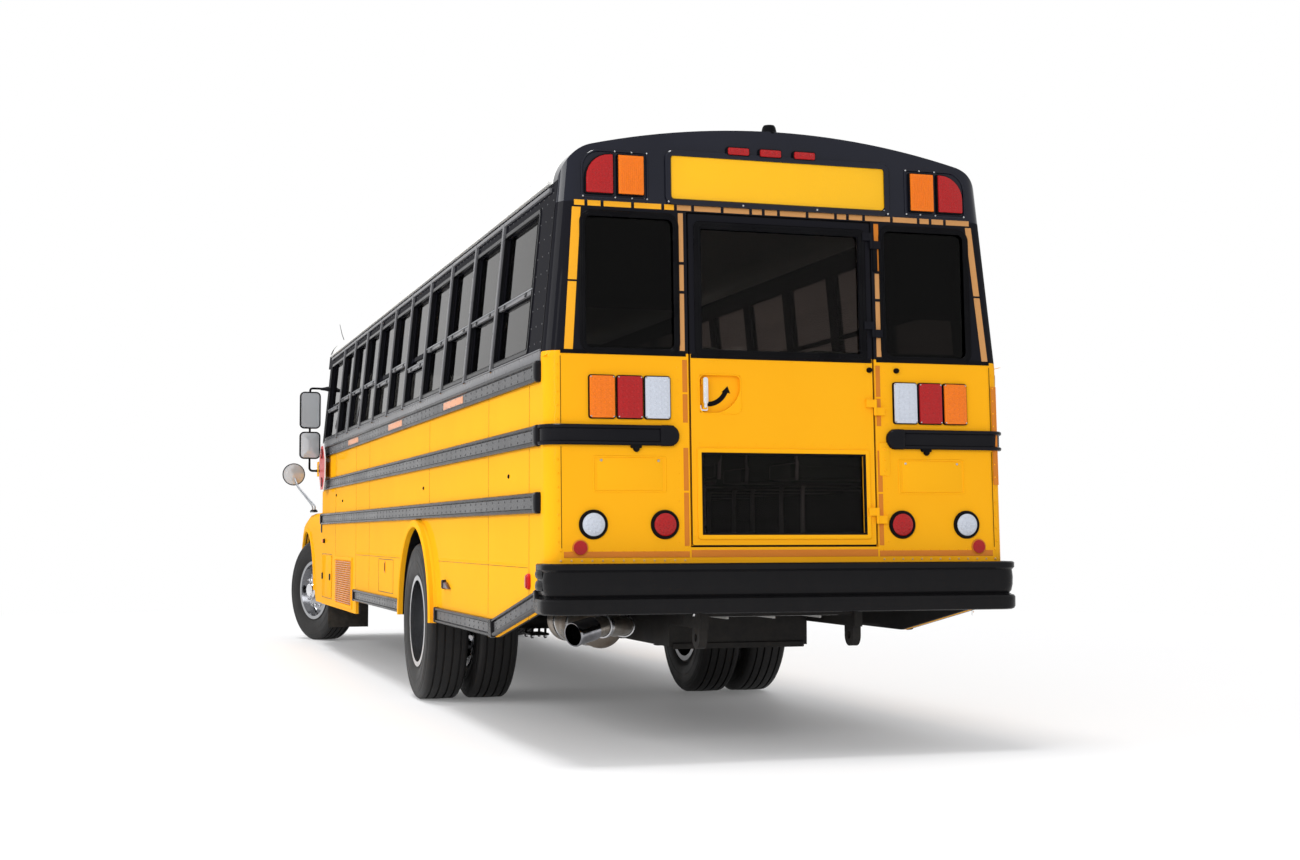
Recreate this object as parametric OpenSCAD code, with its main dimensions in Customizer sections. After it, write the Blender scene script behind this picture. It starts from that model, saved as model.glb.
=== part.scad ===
// Conventional school bus: ladder frame, ribbed steel body, tilting hood, outward entry door,
// side-hinged rear emergency door, folding stop arm, two roof hatches, steered front wheels and
// twin rear wheels. +X points forwards, +Y to the bus's left and +Z up. The origin is on the
// ground under the centre of the whole bus.

/* [Overall] */
// Distance between the rear and the front axle
wheelbase = 7087; // [5600:1:8600]
// Foot of the rear face to the rear axle
rear_overhang = 3630; // [3000:1:4400]
// Front axle to the front bumper's face
front_overhang = 905; // [860:1:1200]
// Foot of the rear face to the cowl at the front of the body
body_len = 9200; // [7600:1:10700]
// Overall width of the body below its windows
body_w = 2438; // [2200:1:2600]
// Height of the roof's crown above the ground
roof_z = 3136; // [2950:1:3400]
// Height of the belt line under the side windows
belt_z = 1964; // [1850:1:2050]
// Height of the floor's upper face
floor_z = 1040; // [980:1:1080]

/* [Body shell] */
// Thickness of the side walls
wall_t = 40; // [25:1:60]
// Thickness of the roof
roof_t = 40; // [25:1:60]
// Thickness of the floor panel
floor_t = 80; // [60:1:100]
// Lean of each side wall inwards between the belt and the eave
tumblehome = 83; // [40:1:110]
// Height of the eave where the roof starts
eave_z = 2840; // [2780:1:2900]
// Radius of the roof's shoulders
shoulder_r = 200; // [120:1:240]
// Forward lean of the rear face per metre of height
rear_rake = 40; // [0:1:60]
// Radius of the upright rear corners
corner_r = 90; // [60:1:110]
// Height of the side skirts' lower edge
skirt_z = 544; // [500:1:600]
// Lower edge of the deeper skirt behind the hood
front_skirt_z = 435; // [400:1:500]
// Radius of the rear wheel arches
arch_r = 612; // [580:1:660]

/* [Windows] */
// Distance between neighbouring side window pillars
window_pitch = 757.5; // [650:1:800]
// Rear face to the first pillar strip
first_pillar = 1307; // [1200:1:1400]
// Width of the solid pillar between two windows
pillar_w = 60; // [40:1:100]
// Lower edge of the side window openings
sill_z = 2005; // [1980:1:2060]
// Upper edge of the side window openings
header_z = 2750; // [2650:1:2790]
// Thickness of every pane
glass_t = 6; // [4:1:8]

/* [Doors and hatches] */
// Width of the rear emergency door
rear_door_w = 982; // [800:1:1050]
// Height of the rear door's top edge
rear_door_top = 2690; // [2500:1:2700]
// Width of the entry doorway
entry_w = 840; // [700:1:900]
// Height of the entry doorway's top edge
entry_top = 2600; // [2450:1:2650]
// Gap round every door and hatch
door_gap = 8; // [6:1:12]
// Side of the square roof hatches
hatch_w = 620; // [500:1:700]

/* [Wheels] */
// Overall diameter of every tyre
tyre_d = 1040; // [960:1:1080]
// Section width of every tyre
tyre_w = 280; // [240:1:290]
// Rim diameter at the bead
rim_d = 572; // [500:1:600]
// Distance between the middles of two twin tyres
twin_spacing = 330; // [310:1:345]
// Outer face of the rear twin tyres from the middle of the bus
rear_track_y = 1245; // [1180:1:1260]
// Kingpin from the middle of the bus
kingpin_y = 930; // [880:1:960]
// Kingpin to the middle of the front tyre
scrub = 100; // [80:1:120]
// Angle at which the front wheels stand parked, to the left
steer_rest = 21; // [0:1:30]

/* [Mounts] */
// Bore of the tow eyes
tow_bore = 42; // [30:1:50]
// Distance between the two licence plate holes
plate_spacing = 178; // [150:1:200]
// Diameter of the licence plate holes
plate_hole = 7; // [5:1:9]

/* [Hidden] */

yellow = [0.98, 0.66, 0.05];
black = [0.05, 0.05, 0.06];
grey = [0.35, 0.35, 0.37];
tint = [0.10, 0.10, 0.12, 0.5];
silver = [0.75, 0.76, 0.78];
seat_gap = 0.3;
fit = 0.5;
eps = 1;

bumper_proj = 110;
overall_len = bumper_proj + rear_overhang + wheelbase + front_overhang;
front_x = overall_len / 2;
rear_x = bumper_proj - overall_len / 2;
rear_axle_x = rear_x + rear_overhang;
front_axle_x = rear_axle_x + wheelbase;
cowl_x = rear_x + body_len;
hw = body_w / 2;
inner_hw = hw - wall_t;
axle_z = tyre_d / 2;
bumper_top = 957;
bumper_low = 713;
wall_low = 733;
tumble_a = atan(tumblehome / (eave_z - belt_z));
rake_a = atan(rear_rake / 1000);
eave_hw = hw - tumblehome;
shoulder_y = eave_hw - shoulder_r * cos(tumble_a);
shoulder_z = eave_z - shoulder_r * sin(tumble_a);
shoulder_drop = roof_z - shoulder_z;
crown_r = (pow(shoulder_y, 2) + pow(shoulder_drop, 2) - pow(shoulder_r, 2))
          / (2 * (shoulder_drop - shoulder_r));
crown_z = roof_z - crown_r;
crown_a = atan2(shoulder_z - crown_z, shoulder_y);
corner_depth = 150;
cap_depth = 250;
cap_z = 2725;
rear_wall_t = 50;
rail_in = 390;
rail_out = 432;
rail_low = 630;
rail_top = floor_z - floor_t - 90;
entry_x1 = cowl_x - 130;
entry_x0 = entry_x1 - entry_w;
entry_low = 440;
step_y = 700;
seat_rows = floor((body_len - 1500) / window_pitch);

// X of the raked rear face's outside at height z
function rear_face(z) = rear_x + rear_rake * (z - bumper_top) / 1000;
// Y of the side wall's outside at height z
function side_y(z) = z <= belt_z ? hw : hw - (z - belt_z) * tan(tumble_a);

// Box between two corners
module block(low, high) {
    translate(low) cube(high - low);
}

// Both sides of the bus from the left one
module both() {
    children();
    mirror([0, 1, 0]) children();
}

// Prism along Y from an outline in X and Z
module side_prism(points, y0, y1) {
    translate([0, y1, 0]) rotate([90, 0, 0]) linear_extrude(y1 - y0) polygon(points);
}

// Local frame on the left wall's outside above the belt: Y is outwards, Z runs up the wall
module upper_wall() {
    translate([0, hw, belt_z]) rotate([tumble_a, 0, 0]) children();
}

// Height measured up the leaning wall for a height above the ground
function up_wall(z) = (z - belt_z) / cos(tumble_a);

// Points of an arc about a centre in Y and Z
function arc(cy, cz, r, a0, a1, n) = [for (i = [0 : n]) let (a = a0 + (a1 - a0) * i / n)
    [cy + r * cos(a), cz + r * sin(a)]];

// Outline of the body across the bus, inset by t
module section(t) {
    right = concat([[hw - t, body_low], [hw - t, belt_z]],
                   arc(shoulder_y, shoulder_z, shoulder_r - t, tumble_a, crown_a, 14),
                   arc(0, crown_z, crown_r - t, crown_a, 90, 14));
    left = [for (i = [len(right) - 1 : -1 : 0]) [-right[i][0], right[i][1]]];
    polygon(concat(right, left));
}

// The body's whole outer or inner volume between x0 and x1
body_low = 300;
module body_bar(t, x0, x1) {
    translate([x0, 0, 0]) rotate([90, 0, 90]) linear_extrude(x1 - x0) section(t);
}

// Wedge that rounds one upright rear corner
module corner_wedge(r, h) {
    difference() {
        translate([-r, -r, 0]) cube([2 * r, 2 * r, h]);
        translate([r, -r, -eps]) cylinder(r = r, h = h + 2 * eps, $fn = 64);
        translate([-r - eps, -3 * r, -eps]) cube([4 * r, 2 * r, h + 2 * eps]);
        translate([r, -2 * r, -eps]) cube([2 * r, 4 * r, h + 2 * eps]);
    }
}

// Everything behind the raked rear face, with the two corners rounded
module behind_face(inset) {
    side_prism([[rear_x - 400, 0], [rear_face(0) + inset, 0], [rear_face(3400) + inset, 3400],
                [rear_x - 400, 3400]], -hw - 50, hw + 50);
    if (inset == 0) both() {
        translate([rear_face(600), hw, 600]) rotate([0, rake_a, 0])
            corner_wedge(corner_r, belt_z - 600);
        translate([rear_face(belt_z), hw, belt_z]) rotate([tumble_a, rake_a, 0])
            corner_wedge(corner_r, roof_z - belt_z);
    }
}

// ---------- chassis ----------

rail_x0 = rear_x + 60;
rail_x1 = front_x - 260;
eye_rear_x = rail_x0 + 75;
eye_front_x = rail_x1 - 75;
eye_z = rail_low - 45;

module tow_eye(x) {
    difference() {
        union() {
            translate([x, rail_out, eye_z]) rotate([90, 0, 0]) cylinder(d = 110, h = rail_out - rail_in);
            block([x - 55, rail_in, eye_z], [x + 55, rail_out, rail_low - seat_gap]);
        }
        block([x - 56, rail_in - eps, rail_low - seat_gap], [x + 56, rail_out + eps, rail_low + 100]);
        translate([x, rail_out + eps, eye_z]) rotate([90, 0, 0])
            cylinder(d = tow_bore, h = rail_out - rail_in + 2 * eps, $fn = 48);
    }
}

module frame_rails() {
    color(black) {
        both() {
            block([rail_x0, rail_in, rail_low], [rail_x1, rail_out, rail_top]);
            tow_eye(eye_rear_x);
            tow_eye(eye_front_x);
        }
        side = rail_in - seat_gap;
        for (x = [rail_x0 + 20, rear_axle_x - 850, rear_axle_x + 850, cowl_x - 2600, cowl_x - 600,
                  rail_x1 - 100])
            block([x, -side, rail_low + 60], [x + 80, side, rail_top - 60]);
    }
}

wheelhouse_in = rear_track_y - tyre_w - twin_spacing - 45;
wheelhouse_top = 1160;

module floor() {
    rear_end = rear_axle_x - arch_r - 30;
    front_end = rear_axle_x + arch_r + 30;
    strip = wheelhouse_in - 30;
    well_x0 = entry_x0 - 10;
    well_x1 = entry_x1 + 10;
    low = floor_z - floor_t;
    g = seat_gap;
    color(grey) {
        block([rear_x + 70, -inner_hw, low], [rear_end, inner_hw, floor_z]);
        block([rear_end + g, -strip, low], [front_end - g, strip, floor_z]);
        block([front_end, -inner_hw, low], [well_x0 - g, inner_hw, floor_z]);
        block([well_x0, -step_y, low], [cowl_x - 40, inner_hw, floor_z]);
        block([well_x1 + g, -inner_hw, low], [cowl_x - 40, -step_y - g, floor_z]);
        // bearers under the floor
        for (x = [rear_x + 300 : 760 : entry_x0 - 200]) if (abs(x - rear_axle_x) > arch_r + 60)
            block([x - 30, -inner_hw, rail_top], [x + 30, inner_hw, low - g]);
        for (x = [entry_x0 - 60, cowl_x - 110])
            block([x, -step_y + 60, rail_top], [x + 60, inner_hw, low - g]);
        // wheel houses
        both() {
            block([rear_end + g, strip + g, low], [rear_axle_x - arch_r, inner_hw, wheelhouse_top - g]);
            block([rear_axle_x + arch_r, strip + g, low], [front_end - g, inner_hw, wheelhouse_top - g]);
            block([rear_axle_x - arch_r + g, strip + g, low],
                  [rear_axle_x + arch_r - g, wheelhouse_in, wheelhouse_top - g]);
            block([rear_end + g, strip + g, wheelhouse_top], [front_end - g, inner_hw,
                    wheelhouse_top + 30]);
        }
        // entry steps
        tread_y = -step_y - 230;
        block([well_x0, -inner_hw + 50, entry_low - 25], [well_x1, -step_y - g, entry_low]);
        block([well_x0, -inner_hw + 50, entry_low + g], [well_x0 + 25, -step_y - g, low - g]);
        block([well_x1 - 25, -inner_hw + 50, entry_low + g], [well_x1, -step_y - g, low - g]);
        block([well_x0 + 25 + g, tread_y, entry_low + g], [well_x1 - 25 - g, tread_y + 25,
                entry_low + 240 - g]);
        block([well_x0 + 25 + g, tread_y, entry_low + 240], [well_x1 - 25 - g, -step_y - 25 - g,
                entry_low + 265]);
        block([well_x0 + 25 + g, -step_y - 25, entry_low + g], [well_x1 - 25 - g, -step_y - g, floor_z]);
    }
}

// Outline of a side wall from the side: skirt, rear rise and the deeper front skirt
rise_x = rear_x + 1197;
deep_x = rear_x + 6750;
module side_outline(y0, y1) {
    side_prism([[rear_x + corner_depth, wall_low], [rise_x, skirt_z], [deep_x, skirt_z], [deep_x,
            front_skirt_z],
                [cowl_x, front_skirt_z], [cowl_x, eave_z], [rear_x + corner_depth, eave_z]], y0, y1);
}

function pillar_x(i) = rear_x + first_pillar + i * window_pitch;
pillar_count = floor((body_len - first_pillar - 900) / window_pitch) + 1;
rear_window_x = rear_x + 450;
driver_window_x1 = cowl_x - 150;

// Spans [x0, x1] of the side window openings
function bay(i) = i == 0 ? [rear_window_x, pillar_x(0) - pillar_w / 2]
    : i == pillar_count ? [pillar_x(i - 1) + pillar_w / 2, driver_window_x1]
    : [pillar_x(i - 1) + pillar_w / 2, pillar_x(i) - pillar_w / 2];

module window_cut(span) {
    upper_wall() translate([span[0], -150, up_wall(sill_z)])
        cube([span[1] - span[0], 300, up_wall(header_z) - up_wall(sill_z)]);
}

sash_w = 28;
sash_t = 24;
sash_in = 14;
transom_z = 2330;
module sash(span) {
    h = up_wall(header_z) - up_wall(sill_z);
    w = span[1] - span[0];
    upper_wall() translate([span[0], -sash_in - sash_t, up_wall(sill_z)]) difference() {
        cube([w, sash_t, h]);
        translate([sash_w, -eps, sash_w])
            cube([w - 2 * sash_w, sash_t + 2 * eps, transom_z - sill_z - 1.5 * sash_w]);
        translate([sash_w, -eps, transom_z - sill_z + sash_w / 2])
            cube([w - 2 * sash_w, sash_t + 2 * eps, h - transom_z + sill_z - 1.5 * sash_w]);
    }
}

module pillar_strip(x) {
    upper_wall() translate([x - 12, -eps, up_wall(1985)]) cube([24, 13, up_wall(2815) - up_wall(1985)]);
}

module flare() {
    translate([rear_axle_x, hw + 40, axle_z + 17]) rotate([90, 0, 0]) difference() {
        cylinder(r = arch_r + 45, h = 41, $fn = 128);
        translate([0, 0, -eps]) cylinder(r = arch_r, h = 43, $fn = 128);
        translate([-900, -900, -eps]) cube([1800, 900 + skirt_z - axle_z - 17, 43]);
    }
}

module side_wall(bays) {
    difference() {
        union() {
            intersection() {
                difference() {
                    body_bar(0, rear_x, cowl_x);
                    body_bar(wall_t, rear_x - eps, cowl_x + eps);
                }
                side_outline(0, hw + 50);
            }
            flare();
            for (i = [0 : pillar_count - 1]) pillar_strip(pillar_x(i));
        }
        translate([rear_axle_x, hw + 100, axle_z + 17]) rotate([90, 0, 0]) cylinder(r = arch_r, h = 300,
                $fn = 128);
        for (i = bays) window_cut(bay(i));
    }
    for (i = bays) sash(bay(i));
}

module left_side_wall() {
    color(yellow) side_wall([0 : pillar_count]);
    // drive of the stop arm
    color(black) {
        block([stop_hinge_x + 20, hw - eps, stop_z - 70], [stop_hinge_x + 106, hw + 58, stop_z + 70]);
        block([stop_hinge_x, stop_hinge_y - 6, stop_z - 70 + seat_gap],
              [stop_hinge_x + 21, stop_hinge_y + 6, stop_z + 70 - seat_gap]);
        translate([stop_hinge_x, stop_hinge_y, stop_z - 70 + seat_gap])
            cylinder(r = 10, h = 140 - 2 * seat_gap, $fn = 32);
    }
}

entry_hinge_y = -hw - 10;
entry_hinges = [620, 1300, 1980, 2380];
module right_side_wall() {
    color(yellow) difference() {
        union() {
            mirror([0, 1, 0]) side_wall([0 : pillar_count - 1]);
            // upright surround that carries the entry door
            block([entry_x0 - 45, -hw, front_skirt_z], [entry_x1 + 45, -inner_hw, floor_z + eps]);
            block([entry_x0 - 45, -hw, floor_z], [entry_x1 + 45, -inner_hw + 30, entry_top + 45]);
        }
        block([entry_x0, -hw - 50, 300], [entry_x1, -hw + 200, entry_top]);
    }
    color(yellow) for (z = entry_hinges, end = [0, 1]) {
        x = end == 0 ? entry_x0 + door_gap / 2 : entry_x1 - door_gap / 2;
        translate([x, entry_hinge_y, z]) cylinder(r = 8, h = 40, $fn = 32);
        block([end == 0 ? x - 34 : x, entry_hinge_y - 3, z], [end == 0 ? x : x + 34, -hw, z + 40]);
    }
}

module roof() {
    color(silver) difference() {
        body_bar(0, rear_x + cap_depth, cowl_x + 60);
        body_bar(roof_t, rear_x + cap_depth - eps, cowl_x + 60 + eps);
        block([rear_x, -hw, 0], [cowl_x + 100, hw, eave_z]);
        for (x = hatch_x) block([x - hatch_w / 2 + 30, -hatch_w / 2 + 30, 2900],
                                [x + hatch_w / 2 - 30, hatch_w / 2 - 30, 3300]);
    }
    // hatch kerbs
    color(silver) for (x = hatch_x) difference() {
        block([x - hatch_w / 2, -hatch_w / 2, roof_z - roof_t - 8], [x + hatch_w / 2, hatch_w / 2, kerb_z]);
        block([x - hatch_w / 2 + 30, -hatch_w / 2 + 30, 2900], [x + hatch_w / 2 - 30, hatch_w / 2 - 30,
                3300]);
    }
    // hatch hinge lugs
    color(silver) for (x = hatch_x) both() {
        edge = x + hatch_w / 2;
        block([edge - eps, lug_y, roof_z - 20], [edge + 31, lug_y + 30, kerb_z - 1]);
        block([edge + 13, lug_y, roof_z - 20], [edge + 31, lug_y + 30, kerb_z + 10]);
        translate([edge + lug_x, lug_y + 30, kerb_z + 10]) rotate([90, 0, 0]) cylinder(r = 9, h = 30,
                $fn = 32);
    }
}
lug_x = 22;
lug_y = 230;
kerb_z = roof_z + 14;
hatch_x = [rear_x + 3150, rear_x + 7500];

quarter_z0 = 1995;
quarter_z1 = 2665;
quarter_y0 = 560;
quarter_y1 = 1030;

// Rounded window outline in Y and Z, cut along X
module rounded_cut(y0, y1, z0, z1, r, x0, x1) {
    corners = [[y1 - r, z1 - r, 0], [y0 + r, z1 - r, 90], [y0 + r, z0 + r, 180], [y1 - r, z0 + r, 270]];
    points = [for (c = corners) each arc(c[0], c[1], r, c[2], c[2] + 90, 6)];
    translate([x0, 0, 0]) rotate([90, 0, 90]) linear_extrude(x1 - x0) polygon(points);
}

rear_door_low = 1041;
hinge_y = -rear_door_w / 2 - door_gap / 2;
hinge_out = 14;
module rear_hinge_barrel(z, h) {
    translate([rear_face(0) - hinge_out, hinge_y, 0]) rotate([0, rake_a, 0])
        translate([0, 0, z]) cylinder(r = 9, h = h, $fn = 32);
}

rear_hinges = [1150, 1700, 2100, 2560];

module rear_wall() {
    color(yellow) {
        difference() {
            intersection() {
                body_bar(0, rear_x - 60, rear_x + corner_depth);
                block([rear_x - 60, -hw, wall_low], [rear_x + corner_depth, hw, cap_z]);
            }
            difference() {
                body_bar(wall_t, rear_x - 60, rear_x + corner_depth + eps);
                behind_face(rear_wall_t);
            }
            behind_face(0);
            block([rear_x - 100, -rear_door_w / 2 - door_gap, rear_door_low - door_gap],
                  [rear_x + 300, rear_door_w / 2 + door_gap, rear_door_top + door_gap]);
            for (s = [0, 1]) mirror([0, s, 0])
                rounded_cut(quarter_y0, quarter_y1, quarter_z0, quarter_z1, 45, rear_x - 100, rear_x + 100);
        }
        for (z = rear_hinges) {
            rear_hinge_barrel(z, 40);
            rear_hinge_leaf(z, 40, -1);
        }
    }
}

// Leaf that ties one hinge barrel to the wall (side -1) or to the door (side 1)
module rear_hinge_leaf(z, h, side) {
    translate([rear_face(0) - hinge_out, hinge_y, 0]) rotate([0, rake_a, 0]) translate([0, 0, z])
        if (side < 0) difference() {
            translate([-4, -50, 0]) cube([8 + 14, 50, h]);
            translate([10, -13, -eps]) cube([40, 40, h + 2 * eps]);
        } else difference() {
            translate([-4, 0, 0]) cube([8 + 14, 50, h]);
            translate([10, -27, -eps]) cube([40, 40, h + 2 * eps]);
        }
}

module rear_cap() {
    color(black) difference() {
        union() {
            intersection() {
                body_bar(0, rear_x - 60, rear_x + cap_depth);
                block([rear_x - 60, -hw, cap_z], [rear_x + cap_depth, hw, roof_z + 50]);
            }
        }
        difference() {
            body_bar(wall_t, rear_x - 60, rear_x + cap_depth + eps);
            behind_face(rear_wall_t);
        }
        behind_face(0);
        block([rear_x + corner_depth, -hw - eps, cap_z - eps], [rear_x + cap_depth + eps, hw + eps,
                eave_z]);
    }
}

// ---------- front end ----------

wind_low = 1990;
wind_top = 2700;
cowl_low = rail_top + 70;
module front_end() {
    color(yellow) {
        // cowl panel and firewall
        block([cowl_x, -hw + 25, cowl_low], [cowl_x + 40, hw - 25, wind_low]);
        // windscreen frame
        difference() {
            intersection() {
                body_bar(0, cowl_x, cowl_x + 60);
                block([cowl_x, -hw, wind_low], [cowl_x + 60, hw, eave_z]);
            }
            rounded_cut(-980, 980, wind_low + 40, wind_top, 60, cowl_x - eps, cowl_x + 61);
        }
    }
    color(black) difference() {
        body_bar(0, cowl_x + 60, cowl_x + 210);
        block([cowl_x, -hw, 0], [cowl_x + 300, hw, 2735]);
        body_bar(roof_t, cowl_x + 60 - eps, cowl_x + 170);
    }
}

module body_glass() {
    color(tint) {
        both_windows();
        rounded_cut(-980 + fit, 980 - fit, wind_low + 40 + fit, wind_top - fit, 59, cowl_x + 20,
                cowl_x + 20 + glass_t);
        for (s = [0, 1]) mirror([0, s, 0]) intersection() {
            rounded_cut(quarter_y0 + fit, quarter_y1 - fit, quarter_z0 + fit, quarter_z1 - fit, 44,
                        rear_x - 100, rear_x + 200);
            side_prism([[rear_face(1900) + 15, 1900], [rear_face(2800) + 15, 2800],
                        [rear_face(2800) + 15 + glass_t, 2800], [rear_face(1900) + 15 + glass_t, 1900]],
                       0, hw);
        }
    }
}

module pane(span) {
    h = up_wall(header_z) - up_wall(sill_z);
    w = span[1] - span[0];
    slot = sash_w + fit;
    upper_wall() translate([span[0] + slot, -sash_in - sash_t / 2 - glass_t / 2, up_wall(sill_z)]) {
        translate([0, 0, slot]) cube([w - 2 * slot, glass_t, transom_z - sill_z - 1.5 * sash_w - 1]);
        translate([0, 0, transom_z - sill_z + sash_w / 2 + fit])
            cube([w - 2 * slot, glass_t, h - transom_z + sill_z - 1.5 * sash_w - 1]);
    }
}

module both_windows() {
    for (i = [0 : pillar_count]) pane(bay(i));
    mirror([0, 1, 0]) for (i = [0 : pillar_count - 1]) pane(bay(i));
}

rail_heights = [1892, 1578, 1250];
rail_h = 100;
rail_t = 24;
wrap_rail = 1578;
wrap_y = 555;

// Local frame in the plane of the rear face: X goes into the bus, Z runs up the face
module rear_plane() {
    translate([rear_face(0), 0, 0]) rotate([0, rake_a, 0]) children();
}

// Height measured up the raked rear face for a height above the ground
function up_rear(z) = z / cos(rake_a);

module rub_rails() {
    right_end = entry_x0 - 60;
    color(black) for (z = rail_heights) {
        low = z - rail_h / 2;
        block([rear_x + corner_depth, hw, low], [cowl_x - 20, hw + rail_t, low + rail_h]);
        block([rear_x + corner_depth, -hw - rail_t, low], [right_end, -hw, low + rail_h]);
    }
    // the middle rail carries on across the rear face beside the door
    color(black) both() rear_plane() translate([-rail_t, wrap_y, up_rear(wrap_rail) - rail_h / 2])
        cube([rail_t, hw - corner_r - wrap_y, rail_h]);
}

front_bumper_top = 700;
bracket_z0 = 600;
bracket_z1 = 715;
hinge_x = front_x - 140;
hinge_z = 732;
module bumpers() {
    color(black) {
        // rear bumper: deep channel with two beads, wrapped round both corners
        for (band = [[bumper_low, bumper_low + 75, 0], [bumper_low + 75, bumper_top - 40, 18],
                     [bumper_top - 40, bumper_top, 4]]) {
            outer = rear_x - bumper_proj + band[2];
            wrap = hw + 36 - band[2];
            difference() {
                union() {
                    block([outer, -wrap + 40, band[0]], [outer + 60, wrap - 40, band[1]]);
                    both() {
                        block([outer + 40, hw - 20, band[0]], [rear_x + 130, wrap, band[1]]);
                        translate([outer + 40, wrap - 40, band[0]])
                            cylinder(r = 40, h = band[1] - band[0], $fn = 48);
                    }
                }
                block([outer + 60, -hw - seat_gap, 0], [rear_x + 131, hw + seat_gap, 2000]);
            }
        }
        both() block([rear_x - bumper_proj + 59, rail_in, rail_low + 10], [rail_x0, rail_out,
                wall_low - seat_gap]);
        // front bumper: flat pressed channel on two brackets
        difference() {
            block([front_x - 80, -1190, 470], [front_x, 1190, front_bumper_top]);
            block([front_x - 81, -1191, 482], [front_x - 12, 1191, front_bumper_top - 12]);
            for (s = [-1, 1]) translate([front_x - 50, s * plate_spacing / 2, 590]) rotate([0, 90, 0])
                cylinder(d = plate_hole, h = 100, $fn = 32);
        }
        both() {
            block([rail_x1, rail_in, bracket_z0], [front_x - 12, rail_out, front_bumper_top - 12]);
            block([rail_x1, rail_in, bracket_z0], [front_x - 80, rail_out, bracket_z1]);
            block([hinge_x - 14, rail_in, bracket_z1 - eps], [hinge_x + 14, rail_out, hinge_z]);
            translate([hinge_x, rail_out, hinge_z]) rotate([90, 0, 0])
                cylinder(r = 14, h = rail_out - rail_in, $fn = 48);
        }
    }
}

// ---------- inside ----------

aisle_y = 200;
seat_z = floor_z + 330;
module bench(x) {
    outer = inner_hw - 14;
    g = seat_gap;
    back_low = seat_z + 60;
    block([x + 90 + g, aisle_y, seat_z], [x + 480, outer, seat_z + 120]);
    side_prism([[x, back_low], [x + 90, back_low], [x + 50, back_low + 630], [x - 40, back_low + 630]],
               aisle_y, outer - 20);
    for (leg = [x + 110, x + 420])
        block([leg, aisle_y + 60, floor_z], [leg + 30, aisle_y + 90, seat_z - g]);
    block([x + 110, outer + g, seat_z], [x + 440, inner_hw, seat_z + 40]);
}

function row_x(i) = rear_x + 340 + i * window_pitch;
driver_x = cowl_x - 1230;
driver_y = 560;
module seats() {
    color(grey) {
        for (i = [0 : seat_rows - 1]) both() bench(row_x(i));
        translate([driver_x, driver_y, floor_z]) {
            translate([110 + seat_gap, -240, 330]) cube([410, 480, 120]);
            side_prism([[0, 380], [110, 380], [20, 1080], [-70, 1080]], -230, 230);
            translate([170, -110, 0]) cube([220, 220, 330 - seat_gap]);
        }
    }
}

wheel_c = [cowl_x - 480, driver_y, floor_z + 760];
column_a = 30;
column_len = 330;
module dashboard() {
    color(grey) {
        side_prism([[cowl_x - 260, floor_z + 520], [cowl_x, floor_z + 320], [cowl_x, wind_low - 40],
                    [cowl_x - 120, wind_low - 30], [cowl_x - 250, wind_low - 130]], -step_y + 30,
                            inner_hw - 20);
        translate(wheel_c) rotate([0, -column_a, 0]) translate([0, 0, -25 - column_len])
            cylinder(r = 28, h = column_len - seat_gap, $fn = 48);
        block([wheel_c[0] + 90, driver_y - 40, floor_z + 420], [cowl_x - 150, driver_y + 40,
                floor_z + 560]);
    }
}

module steering_wheel() {
    color(black) translate(wheel_c) rotate([0, -column_a, 0]) {
        rotate_extrude($fn = 96) translate([210, 0]) circle(r = 14, $fn = 32);
        translate([0, 0, -25]) cylinder(r = 45, h = 40, $fn = 48);
        for (a = [0, 180, 270]) rotate([0, 0, a]) translate([40, -14, -6]) cube([160, 28, 12]);
    }
}

// ---------- running gear ----------

engine_x = cowl_x + 150;
module engine_block() {
    color(grey) {
        block([engine_x, -300, 760], [engine_x + 1100, 300, 1420]);
        block([cowl_x - 450, -180, 560], [engine_x + eps, 180, rail_top - 10]);
        both() block([engine_x + 300, 299, 780], [engine_x + 400, rail_in, 850]);
        block([front_x - 440, -rail_out, rail_top], [front_x - 380, rail_out, 1380]);
    }
}

module fuel_tank() {
    color(black) block([rear_x + 700, -rail_in, 505], [rear_x + 1900, rail_in, rail_top - 10]);
}

// Rod between two points
module rod(p, q, r) {
    d = q - p;
    translate(p) rotate([0, acos(d[2] / norm(d)), atan2(d[1], d[0])]) cylinder(r = r, h = norm(d),
            $fn = 48);
}

// Pipe through a list of points, with a collar at each bend
module pipe(points, r) {
    for (i = [0 : len(points) - 2]) rod(points[i], points[i + 1], r);
    for (i = [1 : len(points) - 2]) translate(points[i] - [0, 0, r + 3]) cylinder(r = r + 4,
            h = 2 * r + 6, $fn = 48);
}

muffler_y = 620;
muffler_x0 = rear_x + 1150;
muffler_x1 = rear_x + 2000;
module exhaust() {
    color(silver) {
        pipe([[rear_x + 330, 1010, 600], [rear_x + 430, 820, 640], [rear_x + 700, muffler_y, 620],
              [muffler_x0 + eps, muffler_y, 600]], 55);
        rod([muffler_x0, muffler_y, 600], [muffler_x1, muffler_y, 600], 130);
        pipe([[muffler_x1 - eps, muffler_y, 585], [muffler_x1 + 100, muffler_y, 585],
              [muffler_x1 + 230, 290, 585], [rear_axle_x - 300, 290, 638], [rear_axle_x + 500, 290, 638],
              [rear_axle_x + 1000, 290, 600], [cowl_x - 300, 290, 600], [engine_x + 80, 250, 680],
              [engine_x + 80, 250, 760 - seat_gap]], 38);
        block([muffler_x0 + 300, rail_out, 650], [muffler_x0 + 340, muffler_y, 720]);
        block([muffler_x0 + 600, rail_out, 650], [muffler_x0 + 640, muffler_y, 720]);
    }
}

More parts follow.
